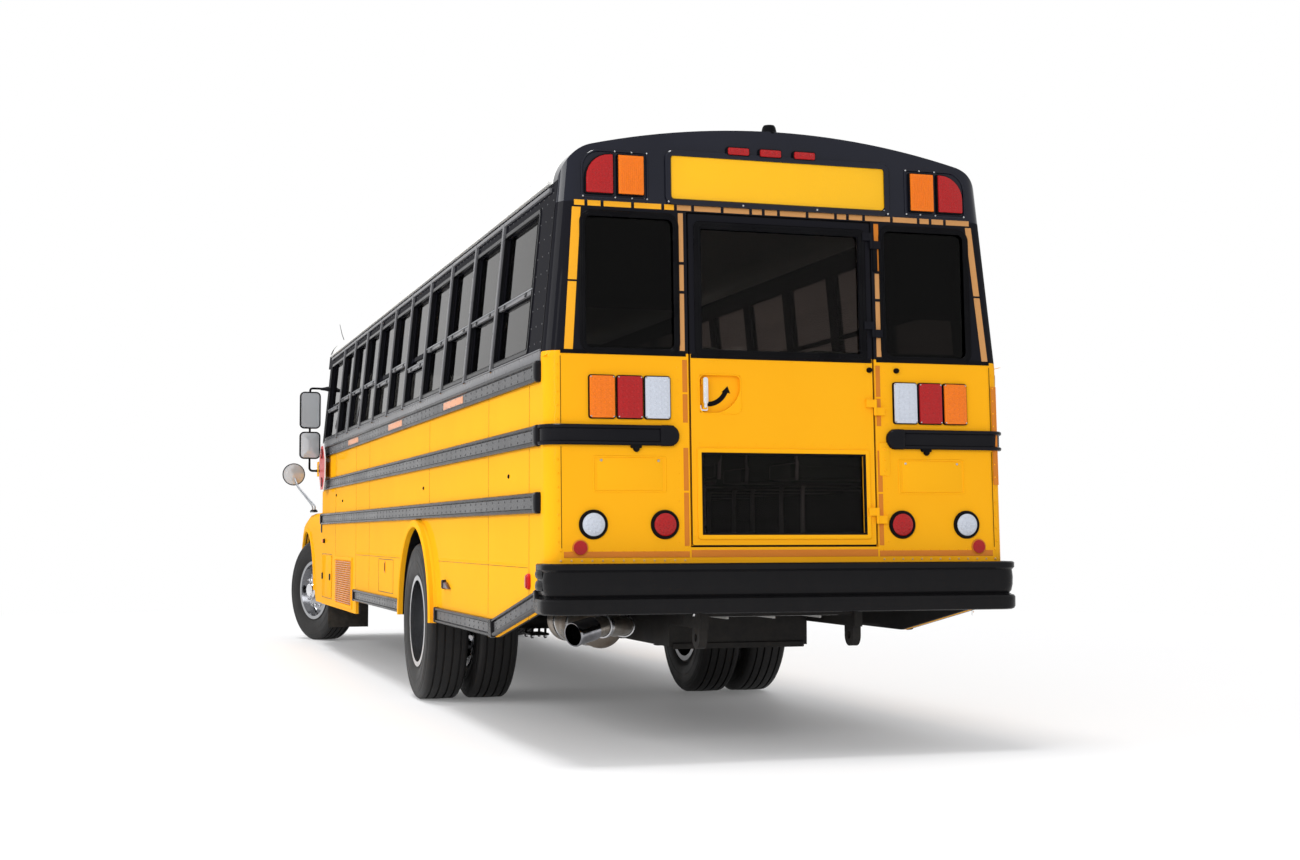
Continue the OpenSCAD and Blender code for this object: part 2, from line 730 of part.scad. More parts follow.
tube_r = 65;
spindle_r = 55;
twin_y = rear_track_y - tyre_w / 2 - twin_spacing / 2;
module rear_axle() {
    color(black) {
        translate([rear_axle_x, 0, axle_z]) {
            rotate([90, 0, 0]) cylinder(r = tube_r, h = 2 * (twin_y - 245), center = true, $fn = 64);
            rotate([90, 0, 0]) cylinder(r = spindle_r, h = 2 * (twin_y + 30), center = true, $fn = 64);
            rotate([0, 90, 0]) cylinder(r = 190, h = 170, center = true, $fn = 64);
            sphere(r = 180, $fn = 64);
            rotate([0, 90, 0]) cylinder(r = 70, h = 360, $fn = 48);
        }
        rod([rear_axle_x + 350, 0, axle_z], [cowl_x - 450 - seat_gap - 4, 0, 620], 42);
    }
}

beam_top = 472;
eye_r = 40;
pin_r = 22;
fit_gap = 0.05;
module front_axle() {
    color(black) difference() {
        translate([front_axle_x, 0, 0]) {
            block([-45, -760, beam_top - 90], [45, 760, beam_top]);
            both() {
                block([-35, 740, beam_top - 80], [35, 815, axle_z + 50]);
                block([-35, 800, axle_z - 50], [35, kingpin_y, axle_z + 50]);
                translate([0, kingpin_y, axle_z - 65]) cylinder(r = eye_r, h = 130, $fn = 48);
            }
        }
        both() translate([front_axle_x, kingpin_y, 0]) cylinder(r = pin_r + fit_gap, h = 1000, $fn = 48);
    }
}

leaf_t = 13;
spring_w = 75;
module leaves(x, y, z, step) {
    for (i = [0 : 4]) block([x - 250 - step * i, y, z + leaf_t * i],
                            [x + 250 + step * i, y + spring_w, z + leaf_t * (i + 1)]);
}

module leaf_springs() {
    color(black) both() {
        top = beam_top + 5 * leaf_t;
        leaves(front_axle_x, 374, beam_top, 52);
        for (s = [-1, 1]) block([front_axle_x + s * 425 - 28, 374, top - eps],
                                [front_axle_x + s * 425 + 28, 374 + spring_w, rail_low]);
        rear_low = axle_z + tube_r + seat_gap;
        leaves(rear_axle_x, 470, rear_low, 100);
        for (s = [-1, 1]) block([rear_axle_x + s * 615 - 30, rail_out, rear_low + 5 * leaf_t - eps],
                                [rear_axle_x + s * 615 + 30, 470 + spring_w, rail_top - 90]);
    }
}

// Local frame of a front wheel: origin on the kingpin, Y outwards along the spindle
module steered(side) {
    translate([front_axle_x, side * kingpin_y, axle_z]) rotate([0, 0, steer_rest])
        if (side > 0) children(); else mirror([0, 1, 0]) children();
}

spindle_front_r = 32;
arm_x = -160;
arm_y = -20;
arm_z = -95;
module knuckle(side) {
    color(grey) steered(side) {
        translate([0, 0, -112]) cylinder(r = pin_r, h = 224, $fn = 48);
        for (z = [65 + seat_gap, -105]) block([-42, -32, z], [42, 72, z + 40 - seat_gap]);
        block([-42, 48, -105], [42, 72, 105]);
        translate([0, 71, 0]) rotate([-90, 0, 0]) cylinder(r = spindle_front_r, h = scrub + 30, $fn = 48);
        translate([arm_x, arm_y, arm_z - 10]) cylinder(r = 24, h = 24, $fn = 48);
        block([arm_x, arm_y - 14, arm_z - 10], [-41, arm_y + 14, arm_z + 14]);
    }
}

module knuckle_left() { knuckle(1); }
module knuckle_right() { knuckle(-1); }

// Ring about the Y axis from an outline of radius and Y
module ring_y(points) {
    rotate([-90, 0, 0]) rotate_extrude($fn = 128) polygon(points);
}

module tyre(y) {
    r = tyre_d / 2;
    bead = rim_d / 2;
    w = tyre_w / 2;
    side = [[bead + seat_gap, bead_w], [bead + 20, bead_w], [bead + 45, w - 8], [bead + 95, w],
            [r - 50, w - 4], [r - 16, w - 18], [r, w - 46]];
    ring_y(concat([for (p = side) [p[0], y - p[1]]], [for (i = [6 : -1 : 0]) [side[i][0],
            y + side[i][1]]]));
}

// Half width of the rim between its flanges
bead_w = tyre_w / 2 - 26;

// Rim about y with a dished disc: flat at disc_y out to its bolts, then a cone to join_y
module rim(y, disc_y, join_y) {
    bead = rim_d / 2;
    flange = bead_w + seat_gap;
    ring_y([[bead - 14, y - flange], [bead, y - flange], [bead, y + flange], [bead - 14, y + flange]]);
    for (s = [-1, 1]) ring_y([[bead - 14, y + s * (flange - eps)], [bead, y + s * (flange - eps)],
                              [bead, y + s * flange], [bead + 18, y + s * flange],
                              [bead + 18, y + s * (flange + 9)], [bead - 14, y + s * (flange + 9)]]);
    difference() {
        ring_y([[60, disc_y - 11], [190, disc_y - 11], [bead - 13, join_y - 11], [bead - 13, join_y + 11],
                [190, disc_y + 11], [60, disc_y + 11]]);
        for (i = [0 : 4]) rotate([0, i * 72, 0]) translate([226, disc_y + 90, 0]) rotate([90, 0, 0])
            cylinder(r = 27, h = 180, $fn = 32);
    }
}

hub_r = 88;
module front_wheel(side) {
    color(silver) steered(side) {
        disc_y = scrub + 70;
        rim(scrub, disc_y, disc_y - 40);
        difference() {
            translate([0, 90, 0]) rotate([-90, 0, 0]) cylinder(r = hub_r, h = disc_y + 75 - 90, $fn = 64);
            translate([0, 89, 0]) rotate([-90, 0, 0])
                cylinder(r = spindle_front_r + fit_gap, h = scrub + 30 - 17, $fn = 48);
        }
        difference() {
            translate([0, 78, 0]) rotate([-90, 0, 0]) cylinder(r = 190, h = 40, $fn = 64);
            translate([0, 70, 0]) rotate([-90, 0, 0]) cylinder(r = hub_r - 10, h = 25, $fn = 64);
            translate([0, 60, 0]) rotate([-90, 0, 0]) cylinder(r = spindle_front_r + fit_gap, h = 100,
                    $fn = 48);
        }
    }
}

module front_wheel_left() { front_wheel(1); }
module front_wheel_right() { front_wheel(-1); }
module front_tyre(side) {
    color(black) steered(side) tyre(scrub);
}
module front_tyre_left() { front_tyre(1); }
module front_tyre_right() { front_tyre(-1); }

module rear_wheels() {
    color(silver) translate([rear_axle_x, 0, axle_z]) {
        rim(twin_y + twin_spacing / 2, twin_y + 11.2, twin_y + 66);
        rim(twin_y - twin_spacing / 2, twin_y - 11.2, twin_y - 66);
        difference() {
            union() {
                translate([0, twin_y - 240, 0]) rotate([-90, 0, 0]) cylinder(r = 200, h = 190, $fn = 64);
                translate([0, twin_y - 60, 0]) rotate([-90, 0, 0]) cylinder(r = 110, h = 200, $fn = 64);
            }
            translate([0, twin_y - 241, 0]) rotate([-90, 0, 0]) cylinder(r = spindle_r + fit_gap,
                    h = 275, $fn = 64);
            translate([0, twin_y - 241, 0]) rotate([-90, 0, 0]) cylinder(r = 100, h = 30, $fn = 64);
        }
    }
}

module rear_wheels_left() { rear_wheels(); }
module rear_wheels_right() { mirror([0, 1, 0]) rear_wheels(); }
module rear_tyres() {
    color(black) translate([rear_axle_x, 0, axle_z])
        for (s = [-1, 1]) tyre(twin_y + s * twin_spacing / 2);
}
module rear_tyres_left() { rear_tyres(); }
module rear_tyres_right() { mirror([0, 1, 0]) rear_tyres(); }

module mudflaps() {
    color(black) both() block([cowl_x + 40, 760, 200], [cowl_x + 47, 1150, cowl_low + 30]);
}

// ---------- mirrors and lamps ----------

mirror_y = 1450;
mirror_x = cowl_x + 20;
module mirrors() {
    color(black) both() {
        rod_y = mirror_y - 100;
        rod([mirror_x, side_y(2520) + 1.6, 2520], [mirror_x, rod_y, 2520], 14);
        rod([mirror_x, hw - 25, 1720], [mirror_x, rod_y, 1720], 14);
        rod([mirror_x, rod_y, 1706], [mirror_x, rod_y, 2534], 11);
        block([mirror_x - 70, mirror_y - 200, 2130], [mirror_x + 8, mirror_y, 2490]);
        block([mirror_x - 70, mirror_y - 200, 1835], [mirror_x + 8, mirror_y, 2100]);
    }
}

module round_lamp(y, z, d, h) {
    translate([-h, y, up_rear(z)]) rotate([0, 90, 0]) cylinder(d = d, h = h, $fn = 48);
}

module lamps() {
    color("red") both() rear_plane() {
        translate([-22, 595, up_rear(1656)]) cube([22, 420, 216]);
        translate([-18, 712, up_rear(2765)]) cube([18, 308, 200]);
        round_lamp(993, 1144, 136, 16);
        round_lamp(632, 1144, 136, 16);
        round_lamp(1059, 1032, 78, 12);
    }
    color("red") both() for (y = [560, 730]) translate([cowl_x + 210, y, 2850]) rotate([0, 90, 0])
        cylinder(d = 150, h = 18, $fn = 48);
}

// ---------- hood ----------

hood_x0 = cowl_x + 48 + 8;
hood_x1 = front_x - 180;
hood_t = 28;
fender_hw = 1200;
bonnet_hw = 720;
fender_top = 1335;
hood_low = 742;
module hood_bulk(t) {
    side_prism([[hood_x0 - (t > 0 ? 50 : 0), hood_low - t], [hood_x0 - (t > 0 ? 50 : 0), 1950 - t],
            [hood_x0 + 500, 1900 - t],
                [hood_x1 - 250, 1600 - t], [hood_x1 - 60 - t, 1500 - t], [hood_x1 - t, 1350],
                        [hood_x1 - t, hood_low - t]],
               -bonnet_hw + t, bonnet_hw - t);
    side_prism([[hood_x0 + (t > 0 ? -50 : 30), 425 - t], [hood_x0 - (t > 0 ? 50 : 0), hood_low],
            [hood_x0 - (t > 0 ? 50 : 0), fender_top - t],
                [front_axle_x + 150, fender_top - t], [hood_x1 - 120 - t, 1230 - t], [hood_x1 - 60 - t,
                        1100],
                [hood_x1 - 60 - t, hood_low - t], [front_axle_x - 300, hood_low - t],
                        [front_axle_x - 500, 425 - t]],
               -fender_hw + t, fender_hw - t);
}

module hood() {
    color(yellow) difference() {
        hood_bulk(0);
        hood_bulk(hood_t);
        // wheel arches, open underneath
        both() translate([front_axle_x, 1300, axle_z + 17]) rotate([90, 0, 0]) cylinder(r = 600, h = 700,
                $fn = 128);
        // grille and headlamp openings
        block([hood_x1 - 100, -520, 830], [hood_x1 + 10, 520, 1330]);
        both() block([hood_x1 - 150, 740, 860], [hood_x1 + 10, 1080, 1060]);
    }
    // hinge arms
    color(black) both() {
        block([hood_x1 - 26, rail_out + seat_gap, hood_low - 6], [hinge_x, rail_out + 34, hood_low + 18]);
        translate([hinge_x, rail_out + 34, hinge_z]) rotate([90, 0, 0])
            cylinder(r = 14, h = 34 - seat_gap, $fn = 48);
    }
}

module grille() {
    color(black) {
        difference() {
            block([hood_x1 - 40, -520, 830], [hood_x1 + 4, 520, 1330]);
            for (i = [0 : 5]) block([hood_x1 - 41, -480, 862 + i * 75], [hood_x1 + 5, 480, 908 + i * 75]);
        }
        both() block([hood_x1 - 110, 740, 860], [hood_x1 - 54, 1080, 1060]);
    }
}

cross_c = [front_axle_x + 260, 1320, 1745];
module crossview_mirrors() {
    color(black) both() {
        translate(cross_c) rotate([0, 90, 0]) cylinder(r = 118, h = 40, $fn = 48);
        rod(cross_c + [30, 0, 0], [cross_c[0] - 200, fender_hw - 60, fender_top + 12], 9);
        rod(cross_c + [30, 0, 0], [cross_c[0] - 420, fender_hw - 60, fender_top + 12], 9);
        block([cross_c[0] - 460, fender_hw - 90, fender_top + seat_gap],
              [cross_c[0] - 160, fender_hw - 30, fender_top + 14]);
    }
}

// ---------- doors, stop arm and hatches ----------

door_t = 40;
module rear_door() {
    dw = rear_door_w / 2;
    color(yellow) {
        rear_plane() difference() {
            translate([0, -dw, up_rear(rear_door_low)]) cube([door_t, rear_door_w,
                    up_rear(rear_door_top - rear_door_low)]);
            rounded_cut(-dw + 62, dw - 62, up_rear(1990), up_rear(2620), 20, -10, 60);
            rounded_cut(-dw + 62, dw - 62, up_rear(1100), up_rear(1492), 10, -10, 60);
            translate([-eps, 228, up_rear(1696)]) cube([20 + eps, 213, 188]);
        }
        rear_plane() {
            translate([-14, 408, up_rear(1712)]) cube([12, 22, 150]);
            translate([-14, 405, up_rear(1834)]) cube([36, 28, 28]);
        }
        for (z = rear_hinges) {
            rear_hinge_barrel(z + 40 + seat_gap, 40);
            rear_hinge_leaf(z + 40 + seat_gap, 40, 1);
        }
    }
}

module rear_door_glass() {
    side = rear_door_w / 2 - 62 - fit;
    color(tint) rear_plane() {
        rounded_cut(-side, side, up_rear(1990) + fit, up_rear(2620) - fit, 19, 17, 17 + glass_t);
        rounded_cut(-side, side, up_rear(1100) + fit, up_rear(1492) - fit, 9, 17, 17 + glass_t);
    }
}

leaf_w = (entry_w - 4 * door_gap) / 2;
leaf_low = entry_low + door_gap;
leaf_h = entry_top - entry_low - 2 * door_gap;
// One entry leaf: its hinge edge lies at the local origin and it reaches towards local -X
module entry_leaf() {
    difference() {
        translate([-leaf_w, -hw, leaf_low]) cube([leaf_w, door_t, leaf_h]);
        for (span = [[leaf_low + 90, 1180], [1240, entry_top - 100]])
            translate([-leaf_w + 60, -hw - 10, span[0]]) cube([leaf_w - 120, 60, span[1] - span[0]]);
    }
    for (z = entry_hinges) {
        translate([door_gap / 2, entry_hinge_y, z + 40 + seat_gap]) cylinder(r = 8, h = 40, $fn = 32);
        translate([-30, entry_hinge_y - 3, z + 40 + seat_gap]) cube([30 + door_gap / 2, 10, 40]);
        translate([-30, entry_hinge_y - 3, z + 40 + seat_gap]) cube([27, 14, 40]);
    }
}

// Glass of one entry leaf
module entry_pane() {
    for (span = [[leaf_low + 90, 1180], [1240, entry_top - 100]])
        translate([-leaf_w + 60 + fit, -hw + 17, span[0] + fit])
            cube([leaf_w - 120 - 2 * fit, glass_t, span[1] - span[0] - 2 * fit]);
}

module front_leaf_place() {
    translate([entry_x1 - door_gap, 0, 0]) children();
}

module rear_leaf_place() {
    translate([entry_x0 + door_gap, 0, 0]) mirror([1, 0, 0]) children();
}

module entry_door_front() { color(black) front_leaf_place() entry_leaf(); }
module entry_door_rear() { color(black) rear_leaf_place() entry_leaf(); }
module entry_glass_front() { color(tint) front_leaf_place() entry_pane(); }
module entry_glass_rear() { color(tint) rear_leaf_place() entry_pane(); }

sign_w = 457;
stop_hinge_x = cowl_x - 120;
stop_hinge_y = hw + 52;
stop_z = 1735;
module stop_arm() {
    color("red") {
        translate([stop_hinge_x - 60 - sign_w / 2, stop_hinge_y + 4, stop_z]) rotate([90, 0,
                0]) rotate([0, 0, 22.5])
            cylinder(d = sign_w / cos(22.5), h = 8, $fn = 8);
        for (z = [stop_z - 110, stop_z + 70]) {
            block([stop_hinge_x - 130, stop_hinge_y - 8, z], [stop_hinge_x, stop_hinge_y, z + 40]);
            translate([stop_hinge_x, stop_hinge_y, z]) cylinder(r = 10, h = 40, $fn = 32);
        }
    }
}

module hatch(x) {
    color(silver) {
        block([x - hatch_w / 2 - 6, -hatch_w / 2 - 6, kerb_z + seat_gap], [x + hatch_w / 2 + 6,
                hatch_w / 2 + 6, kerb_z + 45]);
        both() {
            tab_y = lug_y - 40 - seat_gap;
            block([x + hatch_w / 2, tab_y, kerb_z + 1], [x + hatch_w / 2 + lug_x, lug_y - seat_gap,
                    kerb_z + 19]);
            translate([x + hatch_w / 2 + lug_x, lug_y - seat_gap, kerb_z + 10]) rotate([90, 0, 0])
                cylinder(r = 9, h = 40, $fn = 32);
        }
    }
}
module front_roof_hatch() { hatch(hatch_x[1]); }
module rear_roof_hatch() { hatch(hatch_x[0]); }

frame_rails();
floor();
left_side_wall();
right_side_wall();
roof();
rear_wall();
rear_cap();
front_end();
body_glass();
rub_rails();
bumpers();
seats();
dashboard();
steering_wheel();
engine_block();
fuel_tank();
exhaust();
rear_axle();
front_axle();
leaf_springs();
mudflaps();
mirrors();
lamps();
hood();
grille();
crossview_mirrors();
rear_door();
rear_door_glass();
entry_door_front();
entry_glass_front();
entry_door_rear();
entry_glass_rear();
stop_arm();
front_roof_hatch();
rear_roof_hatch();
knuckle_left();
knuckle_right();
front_wheel_left();
front_tyre_left();
front_wheel_right();
front_tyre_right();
rear_wheels_left();
rear_tyres_left();
rear_wheels_right();
rear_tyres_right();
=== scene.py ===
"""School bus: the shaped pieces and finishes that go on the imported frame."""

import bpy
import bmesh
import random
from math import cos, pi, radians, sin, sqrt
from mathutils import Matrix, Vector
from mathutils.bvhtree import BVHTree


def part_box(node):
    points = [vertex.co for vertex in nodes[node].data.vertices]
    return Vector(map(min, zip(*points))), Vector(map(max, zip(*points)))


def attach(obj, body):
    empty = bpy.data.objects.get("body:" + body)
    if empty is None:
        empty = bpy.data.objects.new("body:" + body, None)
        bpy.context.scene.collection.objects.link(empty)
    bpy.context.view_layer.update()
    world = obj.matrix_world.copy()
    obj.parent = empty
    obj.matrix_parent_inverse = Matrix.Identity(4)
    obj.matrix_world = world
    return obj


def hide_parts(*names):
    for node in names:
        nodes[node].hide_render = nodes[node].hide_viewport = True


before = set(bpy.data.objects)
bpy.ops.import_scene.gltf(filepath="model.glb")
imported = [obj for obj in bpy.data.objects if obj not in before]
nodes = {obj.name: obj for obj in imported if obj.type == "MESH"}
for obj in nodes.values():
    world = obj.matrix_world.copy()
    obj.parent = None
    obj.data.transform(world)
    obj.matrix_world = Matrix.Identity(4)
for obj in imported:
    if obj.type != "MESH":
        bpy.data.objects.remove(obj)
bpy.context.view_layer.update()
scene = bpy.context.scene
random.seed(11)

# Main lines of the bus, in metres
rear_x, rear_lean_z = -5.756, 0.957
half_width, lean_z, side_lean = 1.219, 1.964, 0.09475
first_post, pitch = -4.449, 0.7575
front_wheel_x, rear_wheel_x = 4.961, -2.126
rear_axle = Vector((rear_wheel_x, 0, 0.52))
arch_z = 0.537  # the wheel arches are struck from this height
rail_heights = (1.892, 1.578, 1.250)


def face_x(z):
    """Where the leaning rear face is at a height."""
    return rear_x + 0.04 * (z - rear_lean_z)


def side_y(z):
    """Half width of the body at a height."""
    return half_width - max(0.0, z - lean_z) * side_lean


def on_rear(y, z, out=0.0):
    return Vector((face_x(z) - out, y, z))


def on_side(s):
    return lambda x, z, out=0.0: Vector((x, s * (side_y(z) + out), z))


def mirrored(place, s):
    """The rear face with its first coordinate measured outwards from the middle."""
    return lambda y, z, out=0.0: place(s * y, z, out)


# ---------------------------------------------------------------- outlines
def rounded(u0, u1, v0, v1, r=0.02, n=5):
    """Rounded rectangle that shrinks by d; r is one radius, or four from the lower left round."""
    rs = r if isinstance(r, tuple) else (r,) * 4

    def shape(d=0.0):
        out = []
        for k, (u, v) in enumerate(((u0 + d, v0 + d), (u1 - d, v0 + d), (u1 - d, v1 - d), (u0 + d, v1 - d))):
            q = max(rs[k] - d, 0.0006)
            cu = u + q if k in (0, 3) else u - q
            cv = v + q if k < 2 else v - q
            for i in range(n + 1):
                a = pi + pi / 2 * (k + i / n)
                out.append((cu + q * cos(a), cv + q * sin(a)))
        return out

    return shape


def outline(points):
    """Any outline with its corners moved in by d."""

    def shape(d=0.0):
        out, n = [], len(points)
        area = sum(points[i - 1][0] * points[i][1] - points[i][0] * points[i - 1][1] for i in range(n))
        k = 1 if area > 0 else -1
        for i in range(n):
            p, a, b = Vector(points[i]), Vector(points[i - 1]), Vector(points[(i + 1) % n])
            e, f = (p - a).normalized(), (b - p).normalized()
            na, nb = Vector((-e.y, e.x)) * k, Vector((-f.y, f.x)) * k
            q = p + (na + nb) * (d / max(0.3, 1 + na.dot(nb)))
            out.append((q.x, q.y))
        return out

    return shape


def bend(points, r, n=6):
    """A path with its corners rounded."""
    pts = [Vector(p) for p in points]
    out = [pts[0]]
    for a, p, b in zip(pts, pts[1:], pts[2:]):
        ra = min(r, (a - p).length * 0.48, (b - p).length * 0.48)
        s, e = p + (a - p).normalized() * ra, p + (b - p).normalized() * ra
        for i in range(n + 1):
            t = i / n
            out.append(s * (1 - t) ** 2 + p * 2 * t * (1 - t) + e * t * t)
    return out + [pts[-1]]


# ---------------------------------------------------------------- mesh kit
class Build:
    """One mesh, gathered part by part, each part with its own finish."""

    def __init__(self):
        self.verts, self.faces, self.index, self.finishes = [], [], [], []

    def add(self, verts, faces, finish):
        if finish not in self.finishes:
            self.finishes.append(finish)
        k, base = self.finishes.index(finish), len(self.verts)
        self.verts += [tuple(v) for v in verts]
        self.faces += [tuple(base + i for i in f) for f in faces]
        self.index += [k] * len(faces)

    def skin(self, rings, finish, closed=True, caps=True, loop=False):
        """Joins equal rings of points."""
        n, m = len(rings[0]), len(rings)
        faces = []
        for i in range(m if loop else m - 1):
            a, b = i * n, (i + 1) % m * n
            for j in range(n if closed else n - 1):
                k = (j + 1) % n
                faces.append((a + j, a + k, b + k, b + j))
        if caps and closed and not loop:
            faces += [tuple(range(n)), tuple((m - 1) * n + j for j in range(n))]
        self.add([p for r in rings for p in r], faces, finish)

    def steps(self, place, shape, levels, finish, loop=False, caps=True):
        """Stacks an outline at (inset, out) levels."""
        self.skin([[place(u, v, w) for u, v in shape(d)] for d, w in levels], finish, loop=loop, caps=caps)

    def slab(self, place, shape, w0, w1, finish, b=0.003):
        """A plate with rounded outer edges."""
        self.steps(place, shape, [(0, w0), (0, w1 - b), (b * 0.3, w1 - b * 0.3), (b, w1)], finish)

    def rim(self, place, shape, width, w0, w1, finish, b=0.003):
        """A raised frame, width wide, inside an outline."""
        self.steps(place, shape, [(0, w0), (0, w1 - b), (b, w1), (width - b, w1), (width, w1 - b), (width, w0)],
                   finish, loop=True)

    def bar(self, place, profile, stations, finish):
        """Runs a profile of (across, out) along stations of (position, scale)."""
        self.skin([[place(t, a, w * k) for a, w in profile] for t, k in stations], finish)

    def lathe(self, centre, axis, profile, finish, n=48, caps=False):
        """Turns (radius, height) points round an axis."""
        c, w = Vector(centre), Vector(axis).normalized()
        u = w.orthogonal().normalized()
        v = w.cross(u)
        self.skin([[c + w * h + (u * cos(2 * pi * i / n) + v * sin(2 * pi * i / n)) * r for i in range(n)]
                   for r, h in profile], finish, caps=caps)

    def tube(self, points, r, finish, n=12):
        pts, side, rings = [Vector(p) for p in points], None, []
        for i, p in enumerate(pts):
            t = (pts[min(i + 1, len(pts) - 1)] - pts[max(i - 1, 0)]).normalized()
            side = t.orthogonal().normalized() if side is None else (side - t * side.dot(t)).normalized()
            up = t.cross(side)
            q = r[i] if isinstance(r, list) else r
            rings.append([p + (side * cos(2 * pi * j / n) + up * sin(2 * pi * j / n)) * q for j in range(n)])
        self.skin(rings, finish)

    def dome(self, p, normal, r, finish, h=None, n=8):
        """A rivet, screw or lamp head."""
        h = h or r * 0.5
        self.lathe(p, normal, [(r, -0.002), (r, h * 0.25), (r * 0.72, h * 0.8), (r * 0.02, h)], finish, n)

    def block(self, lo, hi, finish, b=0.004):
        """A box with eased edges."""
        (x0, y0, z0), (x1, y1, z1) = lo, hi
        e = min(b, (x1 - x0) * 0.4, (y1 - y0) * 0.4, (z1 - z0) * 0.4)
        shape = rounded(x0, x1, y0, y1, e, 1)
        self.steps(lambda x, y, z: Vector((x, y, z)), shape, [(e, z0), (0, z0 + e), (0, z1 - e), (e, z1)],
                   finish)

    def done(self, name, body, replaces=(), angle=38, bevel=0.0):
        mesh = bpy.data.meshes.new(name)
        mesh.from_pydata(self.verts, [], self.faces)
        for m in self.finishes:
            mesh.materials.append(m)
        mesh.polygons.foreach_set("material_index", self.index)
        bm = bmesh.new()
        bm.from_mesh(mesh)
        bmesh.ops.recalc_face_normals(bm, faces=bm.faces)
        bm.to_mesh(mesh)
        bm.free()
        mesh.shade_smooth()
        mesh.set_sharp_from_angle(angle=radians(angle))
        obj = bpy.data.objects.new(name, mesh)
        scene.collection.objects.link(obj)
        if bevel:
            ease(obj, bevel)
        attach(obj, body)
        if replaces:
            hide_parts(*replaces)
        return obj


def ease(obj, width, segments=2):
    """Rounds the sharp edges of a piece."""
    m = obj.modifiers.new("ease", "BEVEL")
    m.width, m.segments, m.limit_method, m.angle_limit = width, segments, "ANGLE", radians(40)
    m.harden_normals = False


# ---------------------------------------------------------------- finishes
class Tree:
    """Adds shader nodes to a tree; an input is a value or another node's output."""

    def __init__(self, tree):
        self.tree = tree

    def add(self, kind, ins=None, out=0, **props):
        node = self.tree.nodes.new("ShaderNode" + kind)
        for k, v in props.items():
            setattr(node, k, v)
        for k, v in (ins or {}).items():
            socket = node.inputs[k]
            if isinstance(v, bpy.types.NodeSocket):
                self.tree.links.new(v, socket)
            else:
                socket.default_value = (*v, 1.0) if socket.type == "RGBA" and len(v) == 3 else v
        return node if out is None else node.outputs[out]

    def math(self, op, a, b=0.0, clamp=False):
        return self.add("Math", {0: a, 1: b}, operation=op, use_clamp=clamp)

    def mix(self, fac, a, b, blend="MIX"):
        return self.add("Mix", {0: fac, 6: a, 7: b}, 2, data_type="RGBA", blend_type=blend)

    def span(self, value, lo, hi, to_lo=0.0, to_hi=1.0):
        return self.add("MapRange", {0: value, 1: lo, 2: hi, 3: to_lo, 4: to_hi})

    def place(self):
        return self.add("TexCoord", out="Object")

    def noise(self, scale, detail=3.0, rough=0.5, vector=None):
        return self.add("TexNoise", {"Vector": vector or self.place(), "Scale": scale, "Detail": detail,
                                     "Roughness": rough})


def effect(name, ins, outs):
    """An empty node group with named sockets."""
    tree = bpy.data.node_groups.new(name, "ShaderNodeTree")
    for n, v in ins.items():
        tree.interface.new_socket(name=n, in_out="INPUT", socket_type="NodeSocketFloat").default_value = v
    for n, kind in outs.items():
        tree.interface.new_socket(name=n, in_out="OUTPUT", socket_type=kind)
    g = Tree(tree)
    return g, tree.nodes.new("NodeGroupInput"), tree.nodes.new("NodeGroupOutput")


def surface_effect():
    """Grain, patchiness and road dust that settles low on the bus."""
    g, given, result = effect("surface life", {"Grain Scale": 300.0, "Grain Depth": 0.1, "Patch Scale": 2.0,
                                               "Dust": 0.2},
                              {"Patch": "NodeSocketFloat", "Dust": "NodeSocketFloat",
                               "Normal": "NodeSocketVector"})
    link = g.tree.links.new
    place = g.place()
    patch = g.noise(given.outputs["Patch Scale"], 4.0, 0.55, place)
    link(g.span(patch, 0.3, 0.7), result.inputs["Patch"])
    height = g.add("SeparateXYZ", {0: place}, 2)
    low = g.span(height, 1.15, 0.35)
    speck = g.noise(14.0, 6.0, 0.7, place)
    dusty = g.math("MULTIPLY", g.math("MULTIPLY", low, g.span(speck, 0.25, 0.75)), given.outputs["Dust"], True)
    link(dusty, result.inputs["Dust"])
    grain = g.noise(given.outputs["Grain Scale"], 2.0, 0.5, place)
    bump = g.add("Bump", {"Strength": given.outputs["Grain Depth"], "Distance": 0.002, "Height": grain})
    link(bump, result.inputs["Normal"])
    return g.tree


def dimple_effect():
    """Small cells, for reflective sheet and lamp lenses."""
    g, given, result = effect("lens cells", {"Cell Scale": 200.0, "Cell Depth": 0.4},
                              {"Cell": "NodeSocketFloat", "Normal": "NodeSocketVector"})
    link = g.tree.links.new
    cell = g.add("TexVoronoi", {"Vector": g.place(), "Scale": given.outputs["Cell Scale"]}, "Distance")
    link(g.span(cell, 0.0, 0.7), result.inputs["Cell"])
    link(g.add("Bump", {"Strength": given.outputs["Cell Depth"], "Distance": 0.002, "Height": cell}),
         result.inputs["Normal"])
    return g.tree


surface_life = surface_effect()
lens_cells = dimple_effect()
dust_colour = (0.30, 0.25, 0.19)


def start(name):
    m = bpy.data.materials.new(name)
    m.use_nodes = True
    m.node_tree.nodes.clear()
    return m, Tree(m.node_tree)


def finish_shader(g, **ins):
    shader = g.add("BsdfPrincipled", {k.replace("_", " "): v for k, v in ins.items()})
    g.tree.links.new(shader, g.tree.nodes.new("ShaderNodeOutputMaterial").inputs[0])


def life(g, grain=(300.0, 0.1), patch=2.0, dust=0.2):
    node = g.tree.nodes.new("ShaderNodeGroup")
    node.node_tree = surface_life
    for k, v in zip(("Grain Scale", "Grain Depth", "Patch Scale", "Dust"), (*grain, patch, dust)):
        node.inputs[k].default_value = v
    return node.outputs


